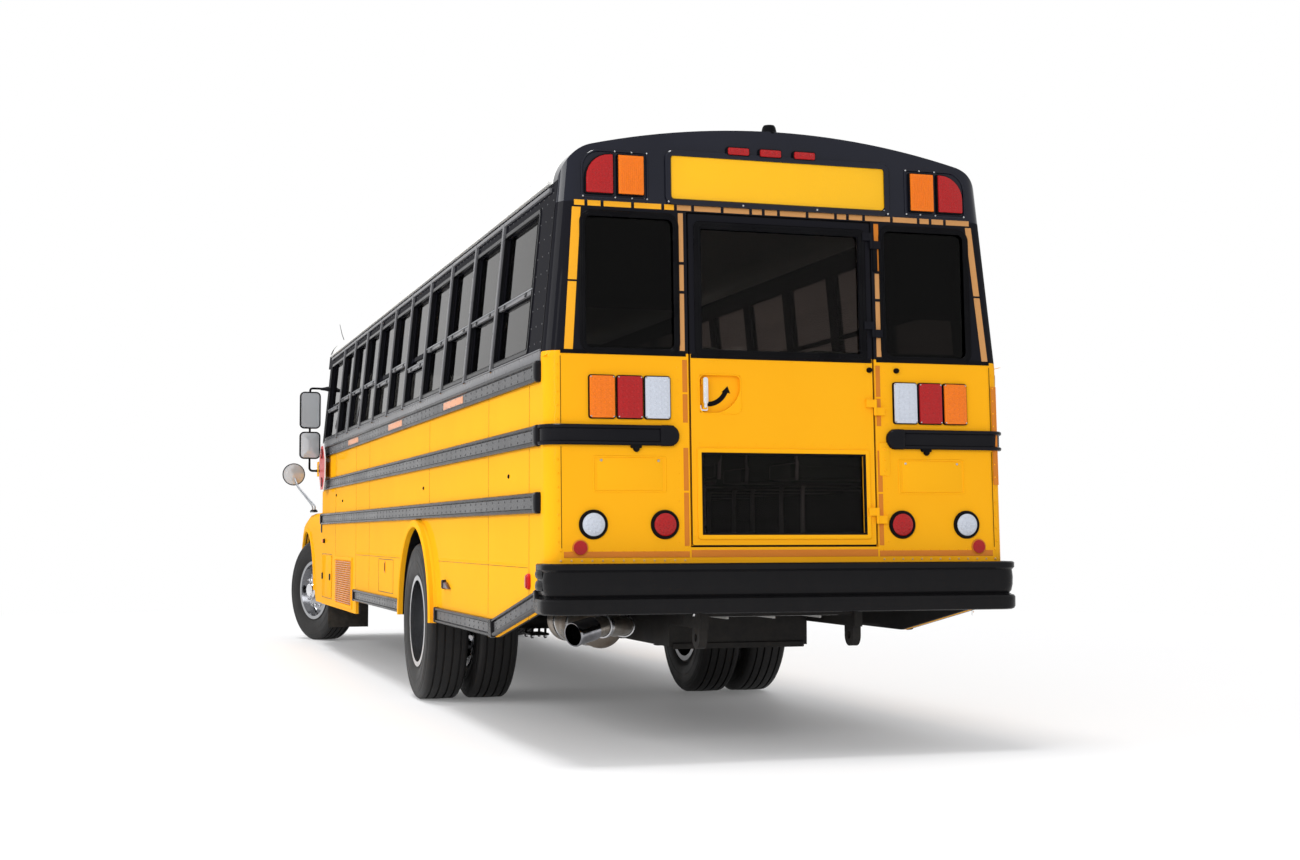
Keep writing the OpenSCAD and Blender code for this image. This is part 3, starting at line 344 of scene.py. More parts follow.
def surface(name, colour, rough, second=None, grain=(300.0, 0.1), patch=2.0, dust=0.2, spread=0.1, **more):
    """A finish with grain, a second shade in patches, uneven gloss and dust."""
    m, g = start(name)
    lf = life(g, grain, patch, dust)
    second = second or tuple(c * 0.75 for c in colour)
    base = g.mix(lf["Patch"], colour, second)
    base = g.mix(lf["Dust"], base, dust_colour)
    gloss = g.span(lf["Patch"], 0.0, 1.0, max(rough - spread, 0.02), rough + spread)
    gloss = g.math("ADD", gloss, g.math("MULTIPLY", lf["Dust"], 0.5), True)
    finish_shader(g, Base_Color=base, Roughness=gloss, Normal=lf["Normal"], **more)
    m.diffuse_color = (*colour, 1)
    return m


def lens(name, colour, cells=(90.0, 0.3), deep=0.45, rough=0.1):
    """Moulded clear-coated lens, darker between its cells."""
    m, g = start(name)
    node = g.tree.nodes.new("ShaderNodeGroup")
    node.node_tree = lens_cells
    node.inputs["Cell Scale"].default_value, node.inputs["Cell Depth"].default_value = cells
    base = g.mix(node.outputs["Cell"], colour, tuple(c * deep for c in colour))
    finish_shader(g, Base_Color=base, Roughness=g.span(node.outputs["Cell"], 0, 1, rough, rough + 0.15),
                  Normal=node.outputs["Normal"], Coat_Weight=0.15, Coat_Roughness=0.04, Specular_IOR_Level=0.2)
    return m


def glass(name, colour, rough=0.015, ahead=None, ior=1.16, **more):
    """Glazing; panes in the windscreen may have a tint of their own."""
    m, g = start(name)
    haze = g.noise(1.3, 3.0)
    tint = g.mix(g.span(haze, 0.3, 0.7), colour, tuple(c * 0.8 for c in colour))
    if ahead:
        tint = g.mix(g.math("GREATER_THAN", g.add("SeparateXYZ", {0: g.place()}, 0), 3.43), tint, ahead)
    finish_shader(g, Base_Color=tint,
                  Roughness=g.span(haze, 0.3, 0.7, rough, rough + 0.02), Transmission_Weight=1.0, IOR=ior,
                  **more)
    return m


def two_tone(name, upper, lower, level, rough=0.24, **more):
    """Body paint that changes colour at a height, with painted shade: the inside faces of the walls are
    coloured near black.
    """
    m, g = start(name)
    lf = life(g, (420.0, 0.05), 1.2, 0.05)
    where = g.add("SeparateXYZ", {0: g.place()}, None).outputs
    x, y, height = where[0], where[1], where[2]
    top = g.math("GREATER_THAN", height, level)
    deep = g.mix(lf["Patch"], lower, tuple(c * k for c, k in zip(lower, (0.98, 0.94, 0.9))))
    base = g.mix(top, deep, upper)
    lean = g.math("MULTIPLY", g.math("MAXIMUM", g.math("SUBTRACT", height, lean_z), 0.0), side_lean)
    across = g.math("SUBTRACT", g.math("ADD", g.math("ABSOLUTE", y), lean), half_width - 0.09)
    back = g.math("SUBTRACT", g.math("ADD", g.math("MULTIPLY", height, 0.04),
                                     rear_x + 0.09 - 0.04 * rear_lean_z), x)
    depth = g.math("ADD", g.math("POWER", g.math("MAXIMUM", across, 0.0), 2.0),
                   g.math("POWER", g.math("MAXIMUM", back, 0.0), 2.0))
    # painted shade: faces more than about 24 mm in from the outer skin, inside the bus and in deep openings,
    # get a near-black colour
    painted_inside_shade = g.math("MULTIPLY", g.math("LESS_THAN", depth, 0.066 ** 2), g.math("LESS_THAN", x, 3.443))
    base = g.mix(painted_inside_shade, base, (0.030, 0.030, 0.031))
    base = g.mix(lf["Dust"], base, dust_colour)
    gloss = g.math("ADD", g.span(lf["Patch"], 0, 1, rough - 0.05, rough + 0.06),
                   g.math("MULTIPLY", lf["Dust"], 0.5), True)
    finish_shader(g, Base_Color=base, Roughness=gloss, Normal=lf["Normal"], Coat_Weight=0.08,
                  Coat_Roughness=0.05, Specular_IOR_Level=0.0, **more)
    return m


bus_yellow = (0.90, 0.418, 0.010)
body_paint = two_tone("body paint", (0.009, 0.009, 0.012), bus_yellow, 1.986)
yellow_paint = surface("yellow paint", bus_yellow, 0.22, (0.89, 0.41, 0.009), (420.0, 0.05), 1.2, 0.05, 0.05,
                       Coat_Weight=0.08, Coat_Roughness=0.05, Specular_IOR_Level=0.0)
cap_paint = surface("navy black gloss", (0.006, 0.007, 0.014), 0.10, (0.009, 0.010, 0.018), (260.0, 0.03), 2.0,
                    0.0, 0.04, Coat_Weight=0.16, Coat_Roughness=0.03, Specular_IOR_Level=0.14)
trim_black = surface("trim black", (0.006, 0.006, 0.008), 0.22, (0.009, 0.009, 0.011), (500.0, 0.05), 3.0, 0.02,
                     0.05, Coat_Weight=0.10, Coat_Roughness=0.06, Specular_IOR_Level=0.03)
rail_face = surface("rail recess", (0.020, 0.020, 0.024), 0.26, (0.030, 0.030, 0.034), (300.0, 0.1), 2.0, 0.03,
                    0.06, Specular_IOR_Level=0.15)
bumper_black = surface("bumper black", (0.006, 0.006, 0.007), 0.24, (0.007, 0.007, 0.008), (220.0, 0.03), 1.4,
                       0.02, 0.02, Coat_Weight=0.12, Coat_Roughness=0.07, Specular_IOR_Level=0.03)
gasket = surface("gasket rubber", (0.004, 0.004, 0.005), 0.30, (0.007, 0.007, 0.008), (260.0, 0.1), 5.0, 0.03,
                 0.05, Specular_IOR_Level=0.03)
band_grey = surface("window frame grey", (0.115, 0.115, 0.122), 0.30, (0.15, 0.15, 0.158), (400.0, 0.1), 2.0,
                    0.0, 0.08, Specular_IOR_Level=0.15)
sash_metal = surface("sash metal", (0.32, 0.33, 0.35), 0.34, (0.22, 0.23, 0.25), (500.0, 0.12), 4.0, 0.0, 0.1,
                     Metallic=0.8)
roof_white = surface("roof white", (0.82, 0.82, 0.80), 0.42, (0.74, 0.74, 0.71), (300.0, 0.1), 0.8, 0.0)
chassis_black = surface("chassis black", (0.007, 0.007, 0.008), 0.5, (0.013, 0.0125, 0.012), (90.0, 0.3), 3.0,
                        0.06, 0.12, Specular_IOR_Level=0.12)
cast_grey = surface("cast iron", (0.05, 0.05, 0.05), 0.6, (0.09, 0.075, 0.06), (140.0, 0.6), 6.0, 0.5, 0.15,
                    Metallic=0.5)
tank_grey = surface("tank grey", (0.42, 0.42, 0.42), 0.42, (0.32, 0.32, 0.31), (200.0, 0.2), 2.0, 0.3, 0.1,
                    Metallic=0.3)
steel_pipe = surface("pipe steel", (0.30, 0.28, 0.25), 0.32, (0.16, 0.12, 0.09), (120.0, 0.3), 7.0, 0.2, 0.12,
                     Metallic=0.9)
tip_steel = surface("tailpipe tip", (0.32, 0.32, 0.34), 0.14, (0.10, 0.10, 0.11), (200.0, 0.1), 9.0, 0.0, 0.06,
                    Metallic=1.0)
chrome = surface("chrome", (0.78, 0.79, 0.81), 0.09, (0.66, 0.67, 0.70), (300.0, 0.03), 9.0, 0.0, 0.04,
                 Metallic=1.0)
polished = surface("polished rim", (0.40, 0.405, 0.42), 0.15, (0.33, 0.335, 0.35), (160.0, 0.04), 4.0, 0.02,
                   0.05, Metallic=0.97)
tyre = surface("tyre rubber", (0.008, 0.008, 0.009), 0.55, (0.013, 0.013, 0.0135), (240.0, 0.3), 4.0, 0.03, 0.1,
               Specular_IOR_Level=0.25)
floor_rubber = surface("floor rubber", (0.03, 0.03, 0.032), 0.7, (0.045, 0.044, 0.042), (160.0, 0.5), 3.0, 0.0)
vinyl = surface("seat vinyl", (0.030, 0.060, 0.042), 0.42, (0.022, 0.045, 0.032), (650.0, 0.6), 2.0, 0.0, 0.08,
                Sheen_Weight=0.1)
plastic = surface("grey plastic", (0.035, 0.035, 0.038), 0.5, (0.05, 0.05, 0.053), (700.0, 0.4), 3.0, 0.0)
inner_white = surface("lining", (0.5, 0.5, 0.48), 0.5, (0.45, 0.45, 0.43), (200.0, 0.1), 1.5, 0.0)
flap_rubber = surface("flap rubber", (0.008, 0.008, 0.009), 0.7, (0.014, 0.014, 0.014), (80.0, 0.5), 3.0, 0.15,
                      Specular_IOR_Level=0.2)
rivet_pale = surface("pale rivets", (0.75, 0.42, 0.12), 0.35, (0.6, 0.36, 0.12), (200.0, 0.1), 9.0, 0.0)
rivet_dark = surface("dark rivets", (0.07, 0.07, 0.075), 0.35, (0.11, 0.11, 0.115), (200.0, 0.1), 9.0, 0.0,
                     Metallic=0.6)
screw_steel = surface("screw steel", (0.55, 0.55, 0.56), 0.25, (0.4, 0.4, 0.41), (200.0, 0.1), 9.0, 0.0,
                      Metallic=1.0)
red_lens = lens("red lens", (0.46, 0.010, 0.012), (230.0, 0.12), 0.72)
amber_lens = lens("amber lens", (0.92, 0.20, 0.006), (230.0, 0.12), 0.78)
clear_lens = lens("clear lens", (0.60, 0.64, 0.72), (230.0, 0.12), 0.82)
red_sheet = lens("red sheet", (0.62, 0.012, 0.010), (500.0, 0.25), 0.8, 0.25)
white_sheet = lens("white sheet", (0.86, 0.86, 0.86), (500.0, 0.2), 0.9, 0.25)
yellow_tape = lens("yellow tape", (0.93, 0.42, 0.012), (700.0, 0.2), 0.85, 0.3)
tan_tape = lens("tan tape", (0.62, 0.30, 0.10), (700.0, 0.2), 0.8, 0.3)
orange_tape = lens("orange brown tape", (0.66, 0.20, 0.012), (700.0, 0.25), 0.85, 0.35)
peach_tape = lens("peach tape", (0.78, 0.36, 0.20), (700.0, 0.25), 0.85, 0.35)
louvre_paint = surface("louvre paint", (0.62, 0.20, 0.010), 0.3, (0.5, 0.15, 0.008), (420.0, 0.1), 3.0, 0.05,
                       0.06)
sign_yellow = lens("sign yellow", (0.95, 0.50, 0.008), (420.0, 0.15), 0.92, 0.22)
tinted = glass("tinted glass", (0.36, 0.31, 0.29))
side_tint = glass("side window glass", (0.085, 0.075, 0.070), ahead=(0.62, 0.68, 0.66))
dark_glass = glass("dark glass", (0.15, 0.14, 0.13))
clear_glass = glass("windscreen glass", (0.72, 0.76, 0.74), ior=1.45)
# painted reflection: the pale grey base colour stands in for what the mirror reflects; only a quarter of the
# finish is real mirror
mirror_painted_reflection = surface("mirror glass with painted reflection", (0.56, 0.58, 0.60), 0.12, (0.50, 0.52, 0.54), (40.0, 0.02), 3.0, 0.0,
                      0.02, Metallic=0.25)
maroon = surface("dark red fitting", (0.05, 0.006, 0.004), 0.3, (0.03, 0.004, 0.003), (200.0, 0.2), 5.0, 0.0)


# ---------------------------------------------------------------- CAD nodes: finishes
def paint(finish, *names, bevel=0.0):
    for n in names:
        slots = nodes[n].data.materials
        slots.clear()
        slots.append(finish)
        if bevel:
            ease(nodes[n], bevel)


paint(body_paint, "left_side_wall", "right_side_wall", "rear_wall", "front_end", "rear_door", bevel=0.004)
paint(yellow_paint, "hood", bevel=0.01)
paint(cap_paint, "rear_cap", bevel=0.006)
paint(roof_white, "roof", "front_roof_hatch", "rear_roof_hatch", bevel=0.006)
paint(tinted, "rear_door_glass")
paint(side_tint, "body_glass")
paint(dark_glass, "entry_glass_front", "entry_glass_rear")
paint(floor_rubber, "floor", bevel=0.004)
paint(chassis_black, "frame_rails", "rear_axle", "front_axle", "leaf_springs", "knuckle_left", "knuckle_right",
      bevel=0.004)
paint(cast_grey, "engine_block", bevel=0.006)
paint(steel_pipe, "exhaust")
paint(chassis_black, "fuel_tank", bevel=0.008)
paint(flap_rubber, "mudflaps", bevel=0.003)
paint(plastic, "dashboard", "steering_wheel", bevel=0.004)
paint(trim_black, "mirrors", "crossview_mirrors", "grille", "entry_door_front", "entry_door_rear", bevel=0.003)
paint(vinyl, "seats", bevel=0.01)
paint(polished, "front_wheel_left", "front_wheel_right", "rear_wheels_left", "rear_wheels_right", bevel=0.002)
paint(tyre, "front_tyre_left", "front_tyre_right", "rear_tyres_left", "rear_tyres_right")
paint(red_sheet, "stop_arm", bevel=0.002)


def shell(name):
    """The faces of a frame piece, for finding where to set something on it."""
    me = nodes[name].data
    return BVHTree.FromPolygons([v.co for v in me.vertices], [p.vertices for p in me.polygons])


# ---------------------------------------------------------------- rear bumper
def rear_bumper():
    """Pressed steel bumper that wraps round both corners."""
    b = Build()
    low, high, out_x, out_y, r = 0.713, 0.957, -5.866, 1.255, 0.12

    def station(x, y, nx, ny, depth, k=1.0):
        mid = (low + high) / 2
        rows = [(depth, high), (0.012, high), (0.004, high - 0.006), (0.004, high - 0.030),
                (0.016, high - 0.042), (0.012, 0.880), (0.013, 0.840), (0.020, 0.808), (0.030, 0.797),
                (0.020, 0.790), (0.006, 0.786), (0.0, 0.776), (0.0, 0.730), (0.006, 0.718), (0.016, low),
                (depth, low)]
        return [Vector((x - nx * u, y - ny * u, mid + (z - mid) * k)) for u, z in rows]

    def half(s):
        rings = [station(-5.626, s * (out_y - 0.014), 0, s, 0.018, 0.72),
                 station(-5.629, s * (out_y - 0.004), 0, s, 0.024, 0.9),
                 station(-5.640, s * out_y, 0, s, 0.033, 1.0),
                 station(out_x + r + 0.03, s * out_y, 0, s, 0.033, 1.0)]
        for i in range(13):
            a = pi / 2 * i / 12
            rings.append(station(out_x + r - r * sin(a), s * (out_y - r + r * cos(a)), -sin(a), s * cos(a),
                                 0.033 + 0.072 * (i / 12) ** 2))
        return rings

    left, right = half(1), half(-1)
    middle = [station(out_x, y, -1, 0, 0.105) for y in (0.9, 0.6, 0.3, 0, -0.3, -0.6, -0.9)]
    b.skin(left + middle + right[::-1], bumper_black)
    for s in (1, -1):  # pressed scallops near the ends
        for z, h in ((0.905, 0.022), (0.850, 0.026), (0.753, 0.022)):
            b.bar(lambda x, z1, w, s=s: Vector((x, s * (out_y - 0.013 + w), z1)),
                  [(z + h * cos(2 * pi * i / 12), 0.014 * max(0, sin(2 * pi * i / 12))) for i in range(12)],
                  [(-5.628, 0.1), (-5.634, 0.75), (-5.645, 1.0), (-5.700, 0.9), (-5.742, 0.1)], bumper_black)
    # front bumper
    fx, fl, fh = 5.866, 0.47, 0.70
    rows = [(0.08, fh), (0.012, fh), (0.0, fh - 0.02), (0.0, 0.62), (0.012, 0.60), (0.012, 0.56), (0.0, 0.54),
            (0.0, fl + 0.02), (0.012, fl), (0.08, fl)]
    b.skin([[Vector((fx - bow - u, y, z)) for u, z in rows]
            for y, bow in ((-1.19, 0.07), (-1.17, 0.035), (-1.10, 0.014), (-0.9, 0.0), (0.9, 0.0),
                           (1.10, 0.014), (1.17, 0.035), (1.19, 0.07))],
           bumper_black)
    b.done("bumper_set", "bus", ["bumpers"], 30)


rear_bumper()


# ---------------------------------------------------------------- rub rails
channel = [(-0.050, 0.0), (-0.050, 0.019), (-0.045, 0.024), (-0.034, 0.024), (-0.028, 0.013), (0.028, 0.013),
           (0.034, 0.024), (0.045, 0.024), (0.050, 0.019), (0.050, 0.0)]


def rails():
    b = Build()
    for s, end in ((1, 3.424), (-1, 2.414)):
        side = on_side(s)
        for z in rail_heights:
            profile = [(z + a, w) for a, w in channel]
            b.bar(side, profile, [(-5.606, 1), (end, 1)], trim_black)
            b.bar(side, [(z - 0.027, 0.0), (z - 0.027, 0.0145), (z + 0.027, 0.0145), (z + 0.027, 0.0)],
                  [(-5.54, 1), (end - 0.06, 1)], rail_face)
            for x0, x1 in ((-5.612, -5.535), (end - 0.065, end + 0.004)):
                b.steps(side, rounded(x0, x1, z - 0.053, z + 0.053, 0.022),
                        [(0, 0), (0, 0.018), (0.004, 0.025), (0.012, 0.029)], trim_black)
            x = -5.46
            while x < end - 0.1:
                for dz in (-0.016, 0.016):
                    b.dome(side(x, z + dz, 0.0135), (0, s, 0), 0.0075, rivet_dark, 0.004, 6)
                x += 0.1515
        # the middle rail goes on round the corner and over the rear face
        z = rail_heights[1]
        for y0, y1 in ((0.555, 1.129),):
            rear = mirrored(on_rear, s)
            b.bar(rear, [(z + a, w) for a, w in channel], [(y0 + 0.03, 1), (y1, 1)], trim_black)
            b.steps(rear, rounded(y0, y0 + 0.100, z - 0.052, z + 0.052, (0.050, 0.012, 0.012, 0.050), 8),
                    [(0, 0), (0, 0.016), (0.003, 0.023), (0.009, 0.028), (0.018, 0.030)], trim_black)
            rings = []
            for i in range(9):
                a = pi / 2 * i / 8
                c = Vector((face_x(z) + 0.09, s * (y1 - 0.0)))
                rings.append([Vector((c.x - (0.09 + w) * cos(a), c.y + s * (0.09 + w) * sin(a), z + q)) for q,
                              w in channel])
            b.skin(rings, trim_black)
    b.done("rub_rail_set", "bus", ["rub_rails"], 30)


rails()


# ---------------------------------------------------------------- lamps
def lamp_set():
    b = Build()
    for s in (1, -1):
        rear = mirrored(on_rear, s)
        n = Vector((-1, 0, 0))
        # three-lens tail cluster, amber outermost
        y0, y1, z0, z1 = 0.594, 1.015, 1.656, 1.8715
        w = (y1 - y0) / 3
        for k, finish in enumerate((clear_lens, red_lens, amber_lens)):
            a, c = y0 + k * w + 0.002, y0 + (k + 1) * w - 0.002
            b.slab(rear, rounded(a, c, z0, z1, 0.014), 0, 0.013, gasket, 0.003)
            b.slab(rear, rounded(a + 0.005, c - 0.005, z0 + 0.005, z1 - 0.005, 0.011), 0.01, 0.021, finish,
                   0.004)
            for i in range(4):
                for j in range(7):
                    y = a + 0.026 + (c - a - 0.052) * i / 3
                    z = z0 + 0.024 + (z1 - z0 - 0.048) * j / 6
                    b.dome(rear(y, z, 0.0205), n, 0.0085, finish, 0.003, 8)
            for y, z in ((a + 0.011, z0 + 0.011), (c - 0.011, z0 + 0.011), (a + 0.011, z1 - 0.011),
                         (c - 0.011, z1 - 0.011)):
                b.dome(rear(y, z, 0.0205), n, 0.0045, screw_steel, 0.003, 8)
        # warning lamps in the cap
        for a, c, finish, r in ((0.716, 0.858, amber_lens, 0.008), (0.874, 1.022, red_lens,
                                                                    (0.008, 0.012, 0.128, 0.008))):
            shape = rounded(a, c, 2.762, 2.968, r, 7)
            b.slab(rear, shape, 0, 0.016, gasket, 0.004)
            inner = rounded(a + 0.006, c - 0.006, 2.768, 2.962, tuple(max(q - 0.006, 0.004)
                                                                      for q in (r if isinstance(r, tuple)
                                                                              else (r,) * 4)), 7)
            b.slab(rear, inner, 0.012, 0.024, finish, 0.005)
            if finish is amber_lens:  # fine upright flutes
                for k in range(11):
                    y = a + 0.016 + 0.0102 * k
                    b.slab(rear, rounded(y, y + 0.006, 2.780, 2.950, 0.0025, 2), 0.0235, 0.0255, finish, 0.001)
            else:  # rows of small cells
                for k in range(10):
                    z = 2.782 + 0.0165 * k
                    over = max(0.0, z + 0.006 - 2.840)
                    edge = c - 0.016 - (0.122 - sqrt(max(0.0, 0.122 ** 2 - over ** 2)))
                    for i in range(8):
                        y = a + 0.020 + 0.0155 * i
                        if y < edge - 0.004:
                            b.dome(rear(y, z, 0.0235), n, 0.0062, finish, 0.0022, 6)
        # round lamps and reflectors
        for y, finish in ((0.993, clear_lens), (0.632, red_lens)):
            c = rear(y, 1.144)
            b.lathe(c, n, [(0.072, 0), (0.072, 0.008), (0.068, 0.014), (0.058, 0.014), (0.055, 0.008)], gasket,
                    40)
            b.lathe(c, n, [(0.056, 0.004), (0.056, 0.013), (0.050, 0.018), (0.030, 0.022), (0.0005, 0.0235)],
                    finish, 40)
            for i in range(12):
                b.dome(rear(y + 0.036 * cos(pi * i / 6), 1.144 + 0.036 * sin(pi * i / 6), 0.0195), n, 0.008,
                       finish, 0.004, 8)
            for i in range(6):
                b.dome(rear(y + 0.016 * cos(pi * i / 3), 1.144 + 0.016 * sin(pi * i / 3), 0.0225), n, 0.007,
                       finish, 0.003, 8)
        c = rear(1.059, 1.032)
        b.lathe(c, n, [(0.040, 0), (0.040, 0.005), (0.037, 0.007), (0.0005, 0.0075)], orange_tape, 32)
        b.lathe(c, n, [(0.035, 0.006), (0.033, 0.0095), (0.0005, 0.0105)], red_lens, 32)
        # small lamp under the rear middle rail
        b.slab(rear, rounded(0.748, 0.802, 1.515, 1.532, 0.006), 0, 0.022, gasket, 0.005)
        b.dome(rear(0.775, 1.513, 0.012), n, 0.017, gasket, 0.014, 12)
        # visor lamps at the front
        for y, finish in ((0.56, amber_lens), (0.73, red_lens)):
            c = Vector((3.654, s * y, 2.85))
            b.lathe(c, (1, 0, 0), [(0.085, -0.01), (0.085, 0.01), (0.078, 0.02), (0.072, 0.012)], gasket, 36)
            b.lathe(c, (1, 0, 0), [(0.074, 0.0), (0.074, 0.014), (0.055, 0.024), (0.0005, 0.029)], finish, 36)
    # side markers
    for s in (1, -1):
        side = on_side(s)
        b.slab(side, rounded(-5.402, -5.356, 0.824, 0.903, 0.022), 0, 0.016, red_sheet, 0.004)
        b.slab(side, rounded(-5.397, -5.361, 0.830, 0.897, 0.018), 0.012, 0.024, red_lens, 0.006)
        b.slab(side, rounded(3.20, 3.26, 1.02, 1.06, 0.012), 0, 0.018, gasket, 0.004)
        b.slab(side, rounded(3.206, 3.254, 1.026, 1.054, 0.010), 0.014, 0.026, amber_lens, 0.005)
        for x in (-3.71, -1.46, 0.82):
            b.slab(side, rounded(x, x + 0.62, rail_heights[0] - 0.022, rail_heights[0] + 0.022, 0.006), 0.010,
                   0.0165, peach_tape, 0.001)
    # lamps over the sign
    for y in (0.222, 0.050, -0.135):
        b.slab(on_rear, rounded(y - 0.062, y + 0.062, 2.994, 3.042, 0.010), 0, 0.018, gasket, 0.004)
        b.slab(on_rear, rounded(y - 0.056, y + 0.056, 3.000, 3.036, 0.008), 0.014, 0.027, red_lens, 0.005)
        for k in range(3):
            b.dome(on_rear(y - 0.034 + 0.034 * k, 3.018, 0.0265), (-1, 0, 0), 0.011, red_lens, 0.005, 10)
    b.done("lamp_set", "bus", ["lamps"], 40)


lamp_set()


# ---------------------------------------------------------------- rear face trim
def sign():
    """Blank yellow sign in a raised frame, with a notch under the small lamps."""
    b = Build()
    y0, y1, z0, z1 = -0.577, 0.577, 2.757, 2.992
    b.rim(on_rear, rounded(y0 - 0.030, y1 + 0.030, z0 - 0.026, z1 + 0.016, 0.045, 7), 0.030, 0.0, 0.017,
          cap_paint, 0.006)
    b.slab(on_rear, rounded(-0.262, 0.352, z1 - 0.012, z1 + 0.014, 0.010), 0, 0.013, cap_paint, 0.004)
    b.slab(on_rear, rounded(y0, y1, z0, z1, 0.028, 7), 0.0, 0.006, sign_yellow, 0.002)
    for y in (y0 - 0.016, -0.2, 0.2, y1 + 0.016):
        b.dome(on_rear(y, z0 - 0.014, 0.016), (-1, 0, 0), 0.0055, screw_steel, 0.003)
    for s in (1, -1):  # inset lamp plates in the cap
        rear = mirrored(on_rear, s)
        b.rim(rear, rounded(0.694, 1.040, 2.742, 2.988, (0.02, 0.02, 0.095, 0.02), 7), 0.012, 0.0, 0.007,
              cap_paint, 0.003)
        for y, z in ((0.702, 2.75), (0.702, 2.98), (0.866, 2.75), (0.866, 2.98), (1.030, 2.75), (0.78, 2.98),
                     (0.78, 2.75)):
            b.dome(rear(y, z, 0.006), (-1, 0, 0), 0.005, screw_steel, 0.003)
    b.done("sign_plate", "bus", (), 32)


sign()


def tapes():
    """Reflective tapes under the cap, beside the rear windows, on the door jambs and over the bumper."""
    b = Build()
    d = 0.0016
    lengths = (0.052, 0.066, 0.140, 0.140, 0.050, 0.074, 0.140, 0.136)
    gap, row_z0, row_z1 = 0.016, 2.704, 2.731
    jamb_y0, jamb_y1 = 0.506, 0.531

    def strip(place, corners, finish):
        b.steps(place, outline(corners), [(0, 0.0), (0, d * 0.6), (0.001, d)], finish)

    # row under the cap
    y, k = 1.074, 0
    while y > -1.02:
        a = max(y - lengths[k % len(lengths)], -1.06)
        finish = yellow_tape if y > 0.60 else tan_tape
        strip(on_rear, [(a, row_z0), (y, row_z0), (y, row_z1), (a, row_z1)], finish)
        y, k = a - gap, k + 1
    # slanting tapes along the corners
    for s, finish, w, foot, lean in ((1, yellow_tape, 0.044, 1.133, 0.066),
                                     (-1, tan_tape, 0.034, 1.147, 0.104)):
        rear = mirrored(on_rear, s)
        for z0, z1 in ((1.990, 2.325), (2.335, 2.695)):
            o0, o1 = foot - (z0 - 1.964) * lean, foot - (z1 - 1.964) * lean
            strip(rear, [(o0 - w, z0), (o0, z0), (o1, z1), (o1 - w, z1)], finish)
        inner = 0.516
        for z0, z1 in ((2.000, 2.285), (2.300, 2.430), (2.445, 2.69)):
            strip(rear, [(inner, z0), (inner + 0.026, z0), (inner + 0.026, z1), (inner, z1)],
                  orange_tape if s < 0 and z0 > 2.44 else tan_tape)
        # below the belt
        for z0, z1 in ((1.040, 1.300), (1.310, 1.520), (1.645, 1.785), (1.795, 1.955)):
            strip(rear, [(jamb_y0, z0), (jamb_y1, z0), (jamb_y1, z1), (jamb_y0, z1)], orange_tape)
        strip(rear, [(jamb_y0, 0.984), (1.140, 0.984), (1.140, 1.014), (jamb_y0, 1.014)], orange_tape)
    strip(on_rear, [(-0.496, 0.984), (0.496, 0.984), (0.496, 1.020), (-0.496, 1.020)], orange_tape)
    strip(on_rear, [(-1.186, 1.35), (-1.158, 1.35), (-1.158, 1.86), (-1.186, 1.86)], orange_tape)
    b.done("reflective_tapes", "bus", (), 32)


tapes()


def rear_panels():
    """Belt line, window gaskets, plates, rivets and seams of the rear wall."""
    b = Build()
    n = Vector((-1, 0, 0))
    for s in (1, -1):
        rear = mirrored(on_rear, s)
        b.bar(rear, [(1.972, 0), (1.972, 0.003), (1.992, 0.003), (1.992, 0)], [(0.512, 1), (1.150, 1)], gasket)
        gask = rounded(0.540, 1.050, 1.975, 2.685, 0.062, 7)
        b.rim(rear, gask, 0.030, -0.004, 0.009, gasket, 0.005)
        b.rim(rear, rounded(0.553, 1.037, 1.988, 2.672, 0.052, 7), 0.005, 0.004, 0.0115, gasket, 0.002)
        # embossed plate recess with two screws
        b.rim(rear, rounded(0.620, 0.992, 1.300, 1.478, 0.010, 3), 0.008, -0.001, 0.0035, yellow_paint, 0.002)
        b.slab(rear, rounded(0.640, 0.972, 1.310, 1.468, 0.006, 3), 0, 0.0018, yellow_paint, 0.001)
        for y in (0.66, 0.95):
            b.dome(rear(y, 1.455, 0.0015), n, 0.007, screw_steel, 0.004)
        # pale rivets along the lower edge and up the jamb
        y = 0.53
        while y < 1.16:
            b.dome(rear(y, 0.970, 0.0), n, 0.006, rivet_pale, 0.003, 6)
            b.dome(rear(y, 1.018, 0.0), n, 0.005, yellow_paint, 0.0025, 6)
            y += 0.052
        z = 1.06
        while z < 1.95:
            if not any(abs(z - q) < 0.06 for q in rail_heights[1:2]):
                b.dome(rear(0.556, z, 0.0), n, 0.005, yellow_paint, 0.0025, 6)
                b.dome(rear(1.166, z, 0.0), n, 0.005, yellow_paint, 0.0025, 6)
            z += 0.066
    for z0, z1 in ((1.03, 1.52), (1.63, 1.96)):  # panel seams at the corners
        for y in (1.150, -1.150):
            b.slab(on_rear, rounded(y - 0.0014, y + 0.0014, z0, z1, 0.001, 1), 0, 0.0012, gasket, 0.0005)
    # hinge plate and barrels' plates on the right jamb
    b.slab(on_rear, rounded(-0.572, -0.515, 1.392, 1.560, 0.008), 0, 0.006, yellow_paint, 0.002)
    for z in (1.42, 1.475, 1.53):
        b.dome(on_rear(-0.545, z, 0.006), n, 0.008, yellow_paint, 0.005)
    for y in (-0.47, -0.62):
        b.lathe(on_rear(y, 1.93), n, [(0.014, 0), (0.014, 0.012), (0.010, 0.022), (0.0005, 0.024)], gasket, 16)
    b.slab(on_rear, rounded(-0.530, -0.505, 2.44, 2.60, 0.006), 0, 0.010, gasket, 0.003)
    b.done("rear_wall_trim", "bus", (), 32)


rear_panels()


